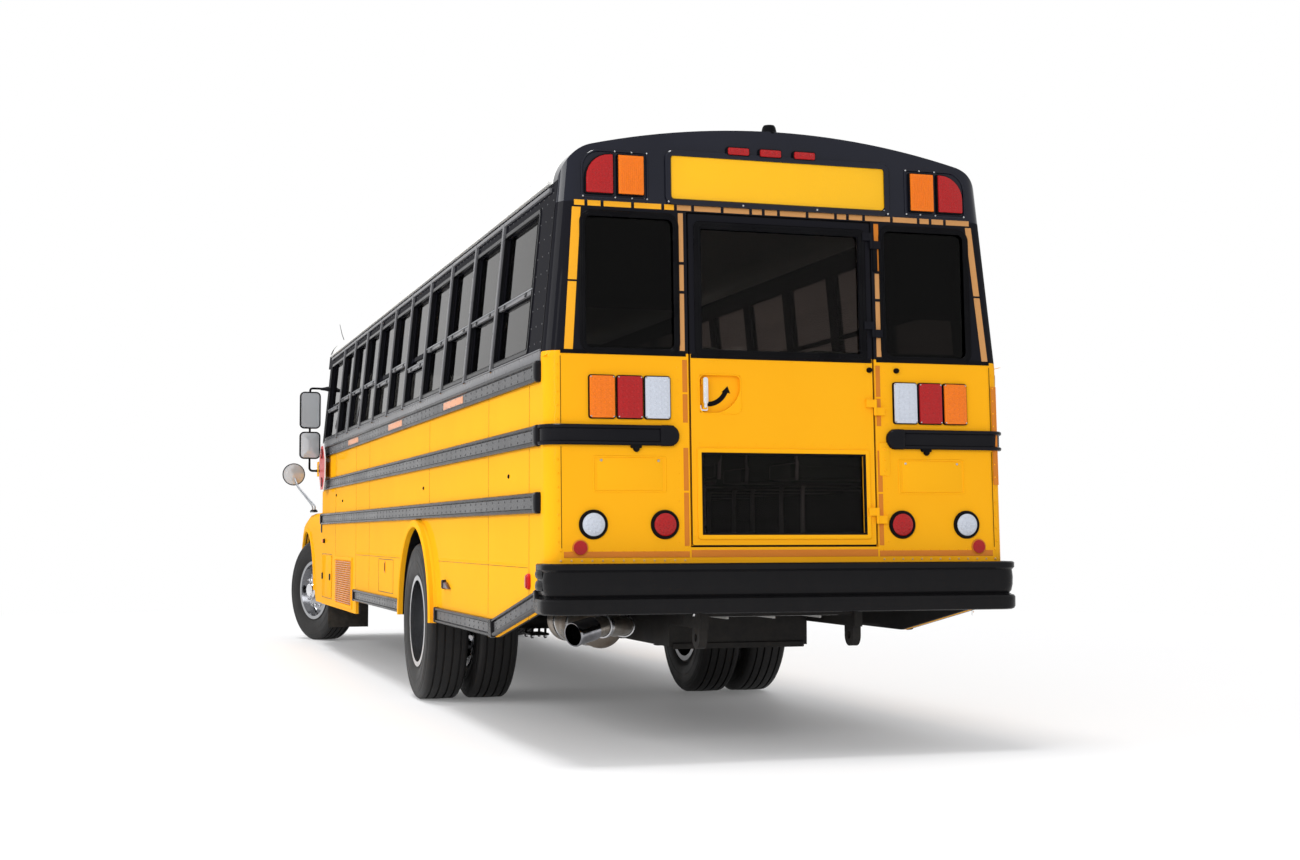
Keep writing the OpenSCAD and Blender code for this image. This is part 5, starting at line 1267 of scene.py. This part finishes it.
def mirror_set():
    """Flat and curved mirrors on bent arms, glass to the rear."""
    b = Build()
    post_x, post_y = 3.433, 1.35
    for s in (1, -1):
        back = lambda y, z, w, s=s: Vector((post_x - w, s * y, z))
        fore = lambda y, z, w, s=s: Vector((post_x + w, s * y, z))
        for z0, z1, bulge in ((2.13, 2.49, 0.0), (1.835, 2.10, 0.010)):
            shape = rounded(1.25, 1.45, z0, z1, 0.045, 7)
            b.steps(fore, shape, [(0.004, -0.030), (0, -0.020), (0, 0.004), (0.010, 0.022), (0.030, 0.034),
                                  (0.060, 0.038)], trim_black)
            b.rim(back, shape, 0.012, 0.028, 0.037, trim_black, 0.004)
            levels = [(0.011, 0.030), (0.014, 0.033 + bulge * 0.1), (0.040, 0.033 + bulge * 0.6),
                      (0.085, 0.033 + bulge)]
            b.steps(back, shape, levels, mirror_painted_reflection)
        p = [(3.400, s * 1.175, 2.52), (3.430, s * 1.26, 2.525), (post_x, s * post_y, 2.525),
             (post_x, s * post_y, 2.47)]
        b.tube(bend(p, 0.05), 0.0105, gasket, 12)
        b.tube([(post_x, s * post_y, 2.50), (post_x, s * post_y, 1.74)], 0.010, gasket, 12)
        p = [(3.400, s * 1.215, 1.720), (post_x, s * 1.28, 1.720), (post_x, s * post_y, 1.720),
             (post_x, s * post_y, 1.80)]
        b.tube(bend(p, 0.05), 0.0105, gasket, 12)
        for z, y in ((2.52, 1.185), (1.72, 1.225)):
            b.lathe((3.395, s * y, z), (0.35, s, 0), [(0.024, -0.03), (0.024, 0.0), (0.017, 0.030),
                                                      (0.012, 0.07)], trim_black, 16, True)
        for z in (2.44, 2.18, 2.05, 1.88):
            b.block((3.421, min(s * 1.33, s * 1.37), z - 0.02), (3.447, max(s * 1.33, s * 1.37), z + 0.02),
                    trim_black)
    b.done("mirror_set", "bus", ["mirrors"], 38)
    b = Build()
    for s in (1, -1):
        c = Vector((5.231, s * 1.32, 1.745))
        b.lathe(c, (-1, 0, 0), [(0.119, -0.012), (0.119, 0.006), (0.113, 0.012), (0.110, 0.006)], trim_black,
                40)
        b.lathe(c, (-1, 0, 0), [(0.112, 0.006), (0.098, 0.012), (0.060, 0.020), (0.0005, 0.024)], mirror_painted_reflection,
                40)
        b.lathe(c, (1, 0, 0), [(0.119, 0.010), (0.112, 0.030), (0.080, 0.044), (0.0005, 0.050)], trim_black, 40)
        for dx in (-0.20, -0.42):
            foot = Vector((5.221 + dx, s * 1.14, 1.350))
            b.tube(bend([c + Vector((0.03, 0, 0)), c + Vector((dx * 0.30, -s * 0.03, -0.13)),
                         foot + Vector((0, 0, 0.05)), foot], 0.05), 0.008, sash_metal, 12)
            b.lathe(foot, (0, 0, 1), [(0.026, -0.014), (0.026, 0.004), (0.014, 0.014)], trim_black, 16, True)
        b.block((4.765, min(s * 1.115, s * 1.165), 1.336), (5.06, max(s * 1.115, s * 1.165), 1.348), trim_black)
    b.done("cross_view_mirrors", "tilting_hood", ["crossview_mirrors"], 38)


mirror_set()


def stop_sign():
    """Folding octagon, red with a white edge and two lamps, both faces blank."""
    b = Build()
    lo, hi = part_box("stop_arm")
    y = (lo.y + hi.y) / 2
    c = (3.0355, 1.735)

    def eight(r):
        return [(c[0] + r * cos(pi / 8 + pi / 4 * i), c[1] + r * sin(pi / 8 + pi / 4 * i)) for i in range(8)]

    r = 0.2285 / cos(pi / 8)
    t = 0.006
    for k in (1, -1):
        flat = lambda x, z, w, k=k: Vector((x, y + k * w, z))
        b.steps(flat, outline(eight(r)), [(0, 0.0), (0, t * 0.5), (0.0015, t * 0.7)], white_sheet)
        b.steps(flat, outline(eight(r - 0.022)), [(0, t * 0.5), (0.0008, t * 0.7 + 0.0008)], red_sheet)
        for z in (c[1] + 0.135, c[1] - 0.135):
            q = flat(c[0], z, t * 0.7)
            b.lathe(q, (0, k, 0), [(0.046, 0), (0.046, 0.006), (0.042, 0.009), (0.038, 0.006)], gasket, 28)
            b.lathe(q, (0, k, 0), [(0.040, 0.002), (0.037, 0.009), (0.0005, 0.013)], red_lens, 28)
    hinge = Vector((3.324, 1.271, 1.735))
    b.block((3.23, y - 0.006, 1.69), (3.318, y + 0.006, 1.78), trim_black)
    b.tube([hinge + Vector((0, 0, -0.055)), hinge + Vector((0, 0, 0.055))], 0.010, trim_black, 14)
    for z in (1.70, 1.77):
        b.dome((3.27, y + 0.006, z), (0, 1, 0), 0.007, screw_steel, 0.004)
    b.done("stop_sign_plate", "stop_sign", ["stop_arm"], 32)


stop_sign()


# ---------------------------------------------------------------- benches
def pad_mesh(name, lx, ly, lz, crown, pull, lean=0.0):
    """A filled pad: crowned faces, sides pulled in between the corners, and sewn channels."""
    bm = bmesh.new()
    bmesh.ops.create_cube(bm, size=2.0)
    bmesh.ops.subdivide_edges(bm, edges=bm.edges[:], cuts=7, use_grid_fill=True)
    for v in bm.verts:
        u, w, h = v.co
        edge = max(abs(u), abs(w))
        full = (1 - u ** 4) * (1 - w ** 6)
        x = u * (lx / 2 - 0.004 - pull * (1 - w * w) * (0.4 + 0.6 * (1 - h * h)))
        y = w * (ly / 2 - 0.004 - pull * (1 - u * u) * (0.4 + 0.6 * (1 - h * h)))
        z = h * (lz / 2 - crown + crown * full)
        if h > 0.9:
            z -= 0.005 * max(0.0, cos(w * pi * 3.0)) ** 8 * full
        round_off = 0.010 * max(0.0, edge - 0.6) * (h * h)
        v.co = (x * (1 - round_off) + lean * z, y * (1 - round_off), z)
    mesh = bpy.data.meshes.new(name)
    bm.to_mesh(mesh)
    bm.free()
    mesh.materials.append(vinyl)
    mesh.shade_smooth()
    return mesh


def place_pad(name, mesh, place, body="bus"):
    obj = bpy.data.objects.new(name, mesh)
    scene.collection.objects.link(obj)
    obj.location = place
    m = obj.modifiers.new("soft", "SUBSURF")
    m.levels = m.render_levels = 1
    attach(obj, body)
    return obj


def upright(mesh, tilt):
    """Stands a flat pad up as a backrest that leans."""
    mesh.transform(Matrix.Rotation(radians(90 - tilt), 4, "Y"))
    return mesh


def piping(b, place, lx, ly, z, r=0.005):
    shape = rounded(-lx / 2, lx / 2, -ly / 2, ly / 2, 0.03, 5)()
    pts = [place(u, v, z) for u, v in shape]
    b.tube(pts + [pts[0]], r, vinyl, 8)


def benches():
    b = Build()
    seat = pad_mesh("bench pad", 0.385, 0.958, 0.114, 0.016, 0.008)
    back = upright(pad_mesh("bench back pad", 0.620, 0.938, 0.086, 0.012, 0.008), 7.5)
    for i in range(10):
        x = -5.416 + pitch * i
        for s, tag in ((1, "left"), (-1, "right")):
            y = s * 0.683
            place_pad(f"bench_cushion_{tag}_{i + 1}", seat, (x + 0.285, y, 1.430))
            place_pad(f"bench_back_{tag}_{i + 1}", back, (x + 0.025, s * 0.673, 1.752))
            piping(b, lambda u, v, w, x=x, y=y: Vector((x + 0.285 + u, y + v, w)), 0.372, 0.944, 1.372)
            for leg in (0.125, 0.435):
                b.tube(bend([(x + leg, s * 0.275, 1.045), (x + leg, s * 0.275, 1.366),
                             (x + leg, s * 0.60, 1.366)], 0.04), 0.0125, sash_metal, 10)
                b.lathe((x + leg, s * 0.275, 1.041), (0, 0, 1), [(0.034, 0), (0.034, 0.005), (0.014, 0.008)],
                        sash_metal, 16, True)
            for dy in (0.215, 1.125):
                b.tube(bend([(x + 0.06, s * dy, 1.38), (x + 0.05, s * dy, 1.45), (x - 0.015, s * dy, 2.02)],
                            0.03), 0.010, sash_metal, 8)
            b.block((x + 0.09, min(s * 0.22, s * 1.15), 1.352), (x + 0.47, max(s * 0.22, s * 1.15), 1.368),
                    plastic)
    # driver's seat
    x = 2.214
    cushion = pad_mesh("driver pad", 0.395, 0.470, 0.115, 0.018, 0.010)
    rest = upright(pad_mesh("driver back pad", 0.690, 0.450, 0.105, 0.016, 0.012), 7.5)
    place_pad("driver_cushion", cushion, (x + 0.315, 0.56, 1.430))
    place_pad("driver_back", rest, (x, 0.56, 1.772))
    b.lathe((x + 0.29, 0.56, 1.042), (0, 0, 1), [(0.14, 0), (0.14, 0.02), (0.08, 0.05), (0.07, 0.20),
                                                 (0.10, 0.27), (0.16, 0.315)], plastic, 28, True)
    b.block((x + 0.12, 0.34, 1.352), (x + 0.50, 0.78, 1.370), plastic)
    b.done("bench_frames", "bus", ["seats"], 38)


benches()


# ---------------------------------------------------------------- underside
def exhaust_set():
    b = Build()
    x0 = rear_x
    tail = bend([(x0 + 0.335, 1.005, 0.600), (x0 + 0.43, 0.83, 0.637), (x0 + 0.70, 0.62, 0.620),
                 (x0 + 0.95, 0.62, 0.600)], 0.13, 8)
    end = (tail[0] - tail[1]).normalized()
    tip = tail[0]
    b.tube([tip - end * 0.126] + [p for p in tail if (p - tip).length > 0.15], 0.052, steel_pipe, 24)
    b.lathe(tip - end * 0.14, end, [(0.0525, 0.0), (0.060, 0.004), (0.0605, 0.120), (0.064, 0.136),
                                    (0.0605, 0.145), (0.056, 0.143), (0.054, 0.10), (0.054, 0.01)], tip_steel,
            36)
    # painted shade: a black disc closes the pipe inside the tip, so its depth reads dark
    b.lathe(tip - end * 0.12, end, [(0.055, 0.0), (0.0005, 0.001)], gasket, 24)
    for k in (0.35, 0.78):
        i = int(k * (len(tail) - 2))
        t = (tail[i + 1] - tail[i]).normalized()
        b.lathe(tail[i], t, [(0.054, -0.016), (0.060, -0.014), (0.060, 0.014), (0.054, 0.016)], screw_steel, 28)
    # muffler, its ends found on the frame's own piece
    muffler_y, muffler_z = 0.62, 0.60
    lo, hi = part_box("exhaust")
    tree = shell("exhaust")
    hits = [x for x in [x0 + 0.8 + 0.02 * k for k in range(140)]
            if tree.ray_cast(Vector((x, muffler_y, -1)),
                             Vector((0, 0, 1)))[0] and tree.ray_cast(Vector((x, muffler_y, -1)),
                                                                     Vector((0, 0, 1)))[0].z < 0.50]
    m0, m1 = min(hits), max(hits)
    length = m1 - m0
    b.lathe((m0, muffler_y, muffler_z), (1, 0, 0), [(0.060, -0.03), (0.062, 0.0), (0.10, 0.012), (0.122, 0.030),
                                                    (0.129, 0.05), (0.129, 0.07), (0.126, 0.075),
                                                    (0.126, length - 0.075), (0.129, length - 0.07),
                                                    (0.129, length - 0.05), (0.122, length - 0.03),
                                                    (0.10, length - 0.012), (0.045, length),
                                                    (0.043, length + 0.03)], steel_pipe, 40)
    for x in (m0 + 0.32, m0 + 0.62):
        b.lathe((x, muffler_y, muffler_z), (1, 0, 0), [(0.126, -0.02), (0.1295, -0.018), (0.1295, 0.018),
                                                       (0.126, 0.02)], screw_steel, 40)
        b.tube([(x, 0.43, 0.70), (x, 0.52, 0.71), (x, 0.60, 0.722)], 0.012, chassis_black, 8)
    pipe = bend([(m1, 0.62, 0.585), (m1 + 0.10, 0.62, 0.585), (m1 + 0.23, 0.29, 0.585), (-2.426, 0.29, 0.638),
                 (-1.626, 0.29, 0.638), (-1.126, 0.29, 0.600), (3.144, 0.29, 0.600), (3.674, 0.25, 0.680),
                 (3.674, 0.25, 0.757)], 0.12, 6)
    b.tube(pipe, 0.037, steel_pipe, 18)
    b.done("exhaust_pipes", "bus", ["exhaust"], 35)


exhaust_set()


def underside():
    """Tank straps, drive shaft ends, dampers, air tanks, brake cans, springs' clips and hoses."""
    b = Build()
    lo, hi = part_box("fuel_tank")
    # flanged rear guard of the tank and its straps
    b.block((lo.x - 0.012, lo.y + 0.02, lo.z - 0.012), (lo.x - 0.001, hi.y - 0.02, lo.z + 0.02), chassis_black)
    b.block((lo.x - 0.010, lo.y + 0.04, hi.z - 0.05), (lo.x - 0.001, hi.y - 0.04, hi.z - 0.02), chassis_black)
    for x in (lo.x + 0.25, hi.x - 0.25):
        b.block((x - 0.03, lo.y, lo.z - 0.006), (x + 0.03, hi.y, lo.z - 0.001), chassis_black, 0.002)
    for y in (-0.28, -0.1, 0.1, 0.28):
        b.dome((lo.x - 0.010, y, hi.z - 0.035), (-1, 0, 0), 0.012, screw_steel, 0.008, 6)
    # light grey washer tank on the left of the rails
    b.slab(lambda x, y, w: Vector((x, y, 0.715 - w)), rounded(-5.60, -5.10, -0.36, 0.36, 0.03), 0, 0.03,
           tank_grey, 0.008)
    for y in (-0.25, 0.0, 0.25):
        b.slab(lambda x, z, w, y=y: Vector((x, y + w, z)), rounded(-5.58, -5.12, 0.672, 0.684, 0.004, 2),
               -0.006, 0.006, tank_grey, 0.002)
    # rear cross member with bolts, seen under the bumper
    for s in (1, -1):
        for x, z in ((-5.60, 0.70), (-5.60, 0.80), (-5.50, 0.75)):
            b.dome((x, s * 0.4325, z), (0, s, 0), 0.014, screw_steel, 0.010, 6)
        # U bolts and plates at the rear springs
        for dx in (-0.09, 0.09):
            for dy in (-0.045, 0.045):
                y = s * (0.411 + dy)
                b.tube([(rear_axle.x + dx, y, 0.395), (rear_axle.x + dx, y, 0.46)], 0.009, chassis_black, 8)
                b.lathe((rear_axle.x + dx, y, 0.402), (0, 0, 1), [(0.016, 0), (0.016, 0.012)], screw_steel, 6,
                        True)
        b.block((rear_axle.x - 0.12, min(s * 0.345, s * 0.477), 0.415),
                (rear_axle.x + 0.12, max(s * 0.345, s * 0.477), 0.430), chassis_black)
        # dampers
        ax, lean = rear_axle.x - 0.17, -0.16
        p, q = Vector((ax, s * 0.335, 0.46)), Vector((ax + lean, s * 0.335, 0.90))
        d = (q - p).normalized()
        b.lathe(p, d, [(0.018, 0), (0.034, 0.01), (0.034, 0.20), (0.030, 0.21)], chassis_black, 20, True)
        b.lathe(p + d * 0.16, d, [(0.040, 0), (0.040, 0.20), (0.016, 0.22), (0.016, 0.27)], chassis_black, 20,
                True)
        # brake chambers behind the rear axle
        c = Vector((rear_axle.x - 0.16, s * 0.60, 0.56))
        b.lathe(c, (-1, 0, 0.1), [(0.030, -0.03), (0.075, 0.0), (0.082, 0.015), (0.082, 0.055), (0.090, 0.060),
                                  (0.090, 0.072), (0.082, 0.078), (0.080, 0.14), (0.060, 0.165),
                                  (0.0005, 0.17)],
                chassis_black, 28)
        hose = bend([c + Vector((-0.10, 0, 0.075)), c + Vector((-0.12, -s * 0.03, 0.17)),
                     c + Vector((-0.02, -s * 0.12, 0.24)), c + Vector((0.10, -s * 0.18, 0.26))], 0.08, 6)
        b.tube(hose, 0.009, gasket, 10)
    # air tanks along the right rail
    tank_y, tank_z = -0.58, 0.72
    for x in (-0.9, -0.1):
        b.lathe((x, tank_y, tank_z), (1, 0, 0), [(0.0005, -0.02), (0.06, -0.01), (0.105, 0.03), (0.115, 0.06),
                                                 (0.115, 0.56), (0.105, 0.59), (0.06, 0.63), (0.0005, 0.64)],
                chassis_black, 32)
        for dx in (0.13, 0.49):
            b.lathe((x + dx, tank_y, tank_z), (1, 0, 0), [(0.115, -0.018), (0.1175, -0.016), (0.1175, 0.016),
                                                          (0.115, 0.018)], screw_steel, 32)
            b.block((x + dx - 0.02, -0.50, 0.70), (x + dx + 0.02, -0.433, 0.76), chassis_black)
    # battery box on the left, with a ribbed outer face
    b.block((-0.98, 0.50, 0.66), (-0.34, 0.98, 0.93), chassis_black, 0.02)
    for k in range(5):
        b.block((-0.96 + 0.13 * k, 0.985, 0.68), (-0.90 + 0.13 * k, 0.995, 0.91), chassis_black, 0.004)
    # brake and fuel lines along the left rail
    for k, r in ((0, 0.007), (1, 0.005), (2, 0.006)):
        b.tube([(x, 0.374, 0.80 - 0.022 * k) for x in (-5.45, -2.9, -1.4, 3.0)], r, gasket, 8)
    for x in [-5.2 + 0.6 * k for k in range(14)]:
        b.block((x, 0.366, 0.745), (x + 0.02, 0.388, 0.812), screw_steel, 0.003)
    # shaft joints
    for x in (-1.76, 2.90):
        b.lathe((x, 0, 0.53 if x < 0 else 0.61), (1, 0, 0.02), [(0.045, -0.03), (0.062, -0.02), (0.062, 0.0),
                                                                (0.045, 0.02), (0.055, 0.04), (0.055, 0.06),
                                                                (0.043, 0.08)], chassis_black, 24)
    b.done("chassis_fittings", "bus", (), 38)


underside()


# ---------------------------------------------------------------- cab and roof
def cab():
    b = Build()
    # dial bezels, dials and switches on the dash
    for k, (y, r) in enumerate(((0.47, 0.052), (0.60, 0.052), (0.70, 0.030), (0.385, 0.030))):
        c = Vector((3.182, y, 1.925))
        b.lathe(c, (-1, 0, 0.35), [(r + 0.008, -0.01), (r + 0.008, 0.012), (r + 0.002, 0.014), (r, 0.006)],
                chrome, 28)
        b.lathe(c, (-1, 0, 0.35), [(r, 0.002), (0.0005, 0.003)], inner_white if k < 2 else gasket, 28)
    for k in range(8):
        b.block((3.180, -0.10 + 0.05 * k, 1.83), (3.192, -0.07 + 0.05 * k, 1.86), gasket if k % 3 else red_lens,
                0.003)
    # windscreen wipers, parked
    for s in (1, -1):
        p = [Vector((3.50, s * 0.20, 2.03)), Vector((3.512, s * 0.32, 2.075)), Vector((3.512, s * 0.78, 2.12))]
        b.tube(p, [0.012, 0.008, 0.005], gasket, 10)
        b.block((3.506, min(s * 0.30, s * 0.88), 2.095), (3.514, max(s * 0.30, s * 0.88), 2.105), gasket, 0.002)
    fore = lambda y, z, w: Vector((3.504 + w, y, z))
    b.rim(fore, rounded(-1.000, 1.000, 2.010, 2.720, 0.075, 7), 0.028, -0.004, 0.009, gasket, 0.004)
    b.slab(fore, rounded(-0.012, 0.012, 2.03, 2.70, 0.004), -0.012, 0.008, gasket, 0.003)
    # blank front sign and its frame on the visor
    front = lambda y, z, w: Vector((3.654 + w, y, z))
    b.rim(front, rounded(-0.44, 0.44, 2.790, 2.985, 0.03, 6), 0.018, -0.004, 0.012, trim_black, 0.004)
    b.slab(front, rounded(-0.424, 0.424, 2.806, 2.969, 0.02, 6), -0.004, 0.006, sign_yellow, 0.002)
    for y in (-0.16, 0.0, 0.16):
        b.slab(front, rounded(y - 0.04, y + 0.04, 2.998, 3.028, 0.008), -0.02, 0.014, amber_lens, 0.004)
    b.done("cab_fittings", "bus", (), 38)
    for tag, body in (("rear", "hatch_rear"), ("front", "hatch_front")):
        b = Build()
        lo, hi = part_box(tag + "_roof_hatch")
        cx, cy = (lo.x + hi.x) / 2 - 0.01, 0.0
        top = lambda x, y, w: Vector((x, y, hi.z + w - 0.004))
        b.rim(top, rounded(cx - 0.28, cx + 0.26, cy - 0.27, cy + 0.27, 0.05, 6), 0.05, -0.012, 0.0035,
              roof_white, 0.003)
        for k in range(5):
            b.slab(top, rounded(cx - 0.20, cx + 0.18, cy - 0.17 + 0.085 * k - 0.012,
                                cy - 0.17 + 0.085 * k + 0.012, 0.010, 3), -0.012, 0.0035, roof_white, 0.003)
        b.done("hatch_lid_" + tag, body, (), 38)


cab()


# ---------------------------------------------------------------- floor, light and camera
def floor():
    b = bmesh.new()
    reach, bus_half_length, bus_half_width = 60, 5.87, 1.25
    for x, y in ((-reach, -reach), (reach, -reach), (reach, reach), (-reach, reach)):
        b.verts.new((x, y, 0))
    b.faces.new(b.verts)
    mesh = bpy.data.meshes.new("ground")
    b.to_mesh(mesh)
    b.free()
    obj = bpy.data.objects.new("ground", mesh)
    scene.collection.objects.link(obj)
    m, g = start("pale ground")
    place = g.place()
    far = g.add("VectorMath", {0: place}, 1, operation="LENGTH")
    at = g.add("SeparateXYZ", {0: place}, None).outputs
    off = g.math("MAXIMUM", g.math("SUBTRACT", g.math("ABSOLUTE", at[0]), bus_half_length),
                 g.math("SUBTRACT", g.math("ABSOLUTE", at[1]), bus_half_width))
    near = g.span(off, -0.3, 1.2, 0.12, 0.50)  # white mixed in near the bus makes its shadow lighter
    wide = g.math("MAXIMUM", near, g.span(far, 7.5, 13.0))
    path = g.add("LightPath", out=None)
    seen = g.math("MAXIMUM", path.outputs["Is Camera Ray"],
                  g.math("MAXIMUM", path.outputs["Is Glossy Ray"], path.outputs["Is Transmission Ray"]))
    shader = g.add("BsdfPrincipled", {"Base Color": g.mix(g.noise(0.6), (0.90, 0.90, 0.905),
                                                          (0.88, 0.88, 0.885)), "Roughness": 0.55,
                                      "Specular IOR Level": 0.2})
    light = g.add("Emission", {"Color": (1.0, 1.0, 1.0), "Strength": 1.0})
    both = g.add("MixShader", {0: g.math("MULTIPLY", wide, seen), 1: shader, 2: light})
    under = g.add("NewGeometry",
                  out="Backfacing")  # the floor is clear from below, so the underside can be seen
    both = g.add("MixShader", {0: under, 1: both, 2: g.add("BsdfTransparent", {"Color": (1.0, 1.0, 1.0)})})
    g.tree.links.new(both, g.tree.nodes.new("ShaderNodeOutputMaterial").inputs[0])
    mesh.materials.append(m)


floor()


def sky():
    world = bpy.data.worlds.new("studio")
    world.use_nodes = True
    world.node_tree.nodes.clear()
    scene.world = world
    g = Tree(world.node_tree)
    path = g.add("LightPath", out=None)
    seen = g.math("MAXIMUM", path.outputs["Is Camera Ray"],
                  g.math("MAXIMUM", path.outputs["Is Glossy Ray"], path.outputs["Is Transmission Ray"]))
    colour = g.mix(seen, (0.64, 0.64, 0.65), (1.0, 1.0, 1.0))
    shade = g.add("Background", {"Color": colour, "Strength": 1.0})
    g.tree.links.new(shade, g.tree.nodes.new("ShaderNodeOutputWorld").inputs[0])


sky()


def lamp(name, place, aim, size, power, shape="RECTANGLE"):
    data = bpy.data.lights.new(name, "AREA")
    data.shape, data.size, data.size_y, data.energy = shape, size[0], size[1], power
    obj = bpy.data.objects.new(name, data)
    scene.collection.objects.link(obj)
    obj.location = place
    obj.rotation_mode = "QUATERNION"
    obj.rotation_quaternion = (Vector(aim) - Vector(place)).to_track_quat("-Z", "Y")
    return obj


key = bpy.data.lights.new("key", "SUN")
key.energy, key.angle = 1.5, radians(18)
key_lamp = bpy.data.objects.new("key", key)
scene.collection.objects.link(key_lamp)
key_lamp.rotation_mode = "QUATERNION"
key_lamp.rotation_quaternion = Vector((-0.06, -0.16, -1.0)).to_track_quat("-Z", "Y")
rear_fill = lamp("rear_fill", (-16.0, 6.5, 6.0), (-5.5, 0, 1.6), (6, 4), 480)
rear_fill.visible_glossy = False  # it gives soft light only, and no bright patch in the paint
lamp("side_fill", (-3.0, 12.0, 6.5), (-1.0, 1.2, 1.4), (9, 4), 700)
lamp("corner_strip", (-10.5, 6.5, 3.4), (-5.7, 1.1, 2.2), (0.12, 2.4), 5)

yaw, tilt, roll = radians(17.1038), radians(3.3995), radians(-0.073)
ahead = Vector((cos(yaw) * cos(tilt), -sin(yaw) * cos(tilt), sin(tilt)))
right = ahead.cross(Vector((0, 0, 1))).normalized()
above = right.cross(ahead)
right, above = right * cos(roll) + above * sin(roll), above * cos(roll) - right * sin(roll)
data = bpy.data.cameras.new("camera")
data.lens, data.sensor_width, data.clip_end = 48.884, 36.0, 200.0
camera = bpy.data.objects.new("camera", data)
scene.collection.objects.link(camera)
camera.matrix_world = Matrix((right, above, -ahead)).transposed().to_4x4()
camera.location = (-13.955, 3.232, 1.094)
scene.camera = camera
scene.view_settings.view_transform = "Standard"
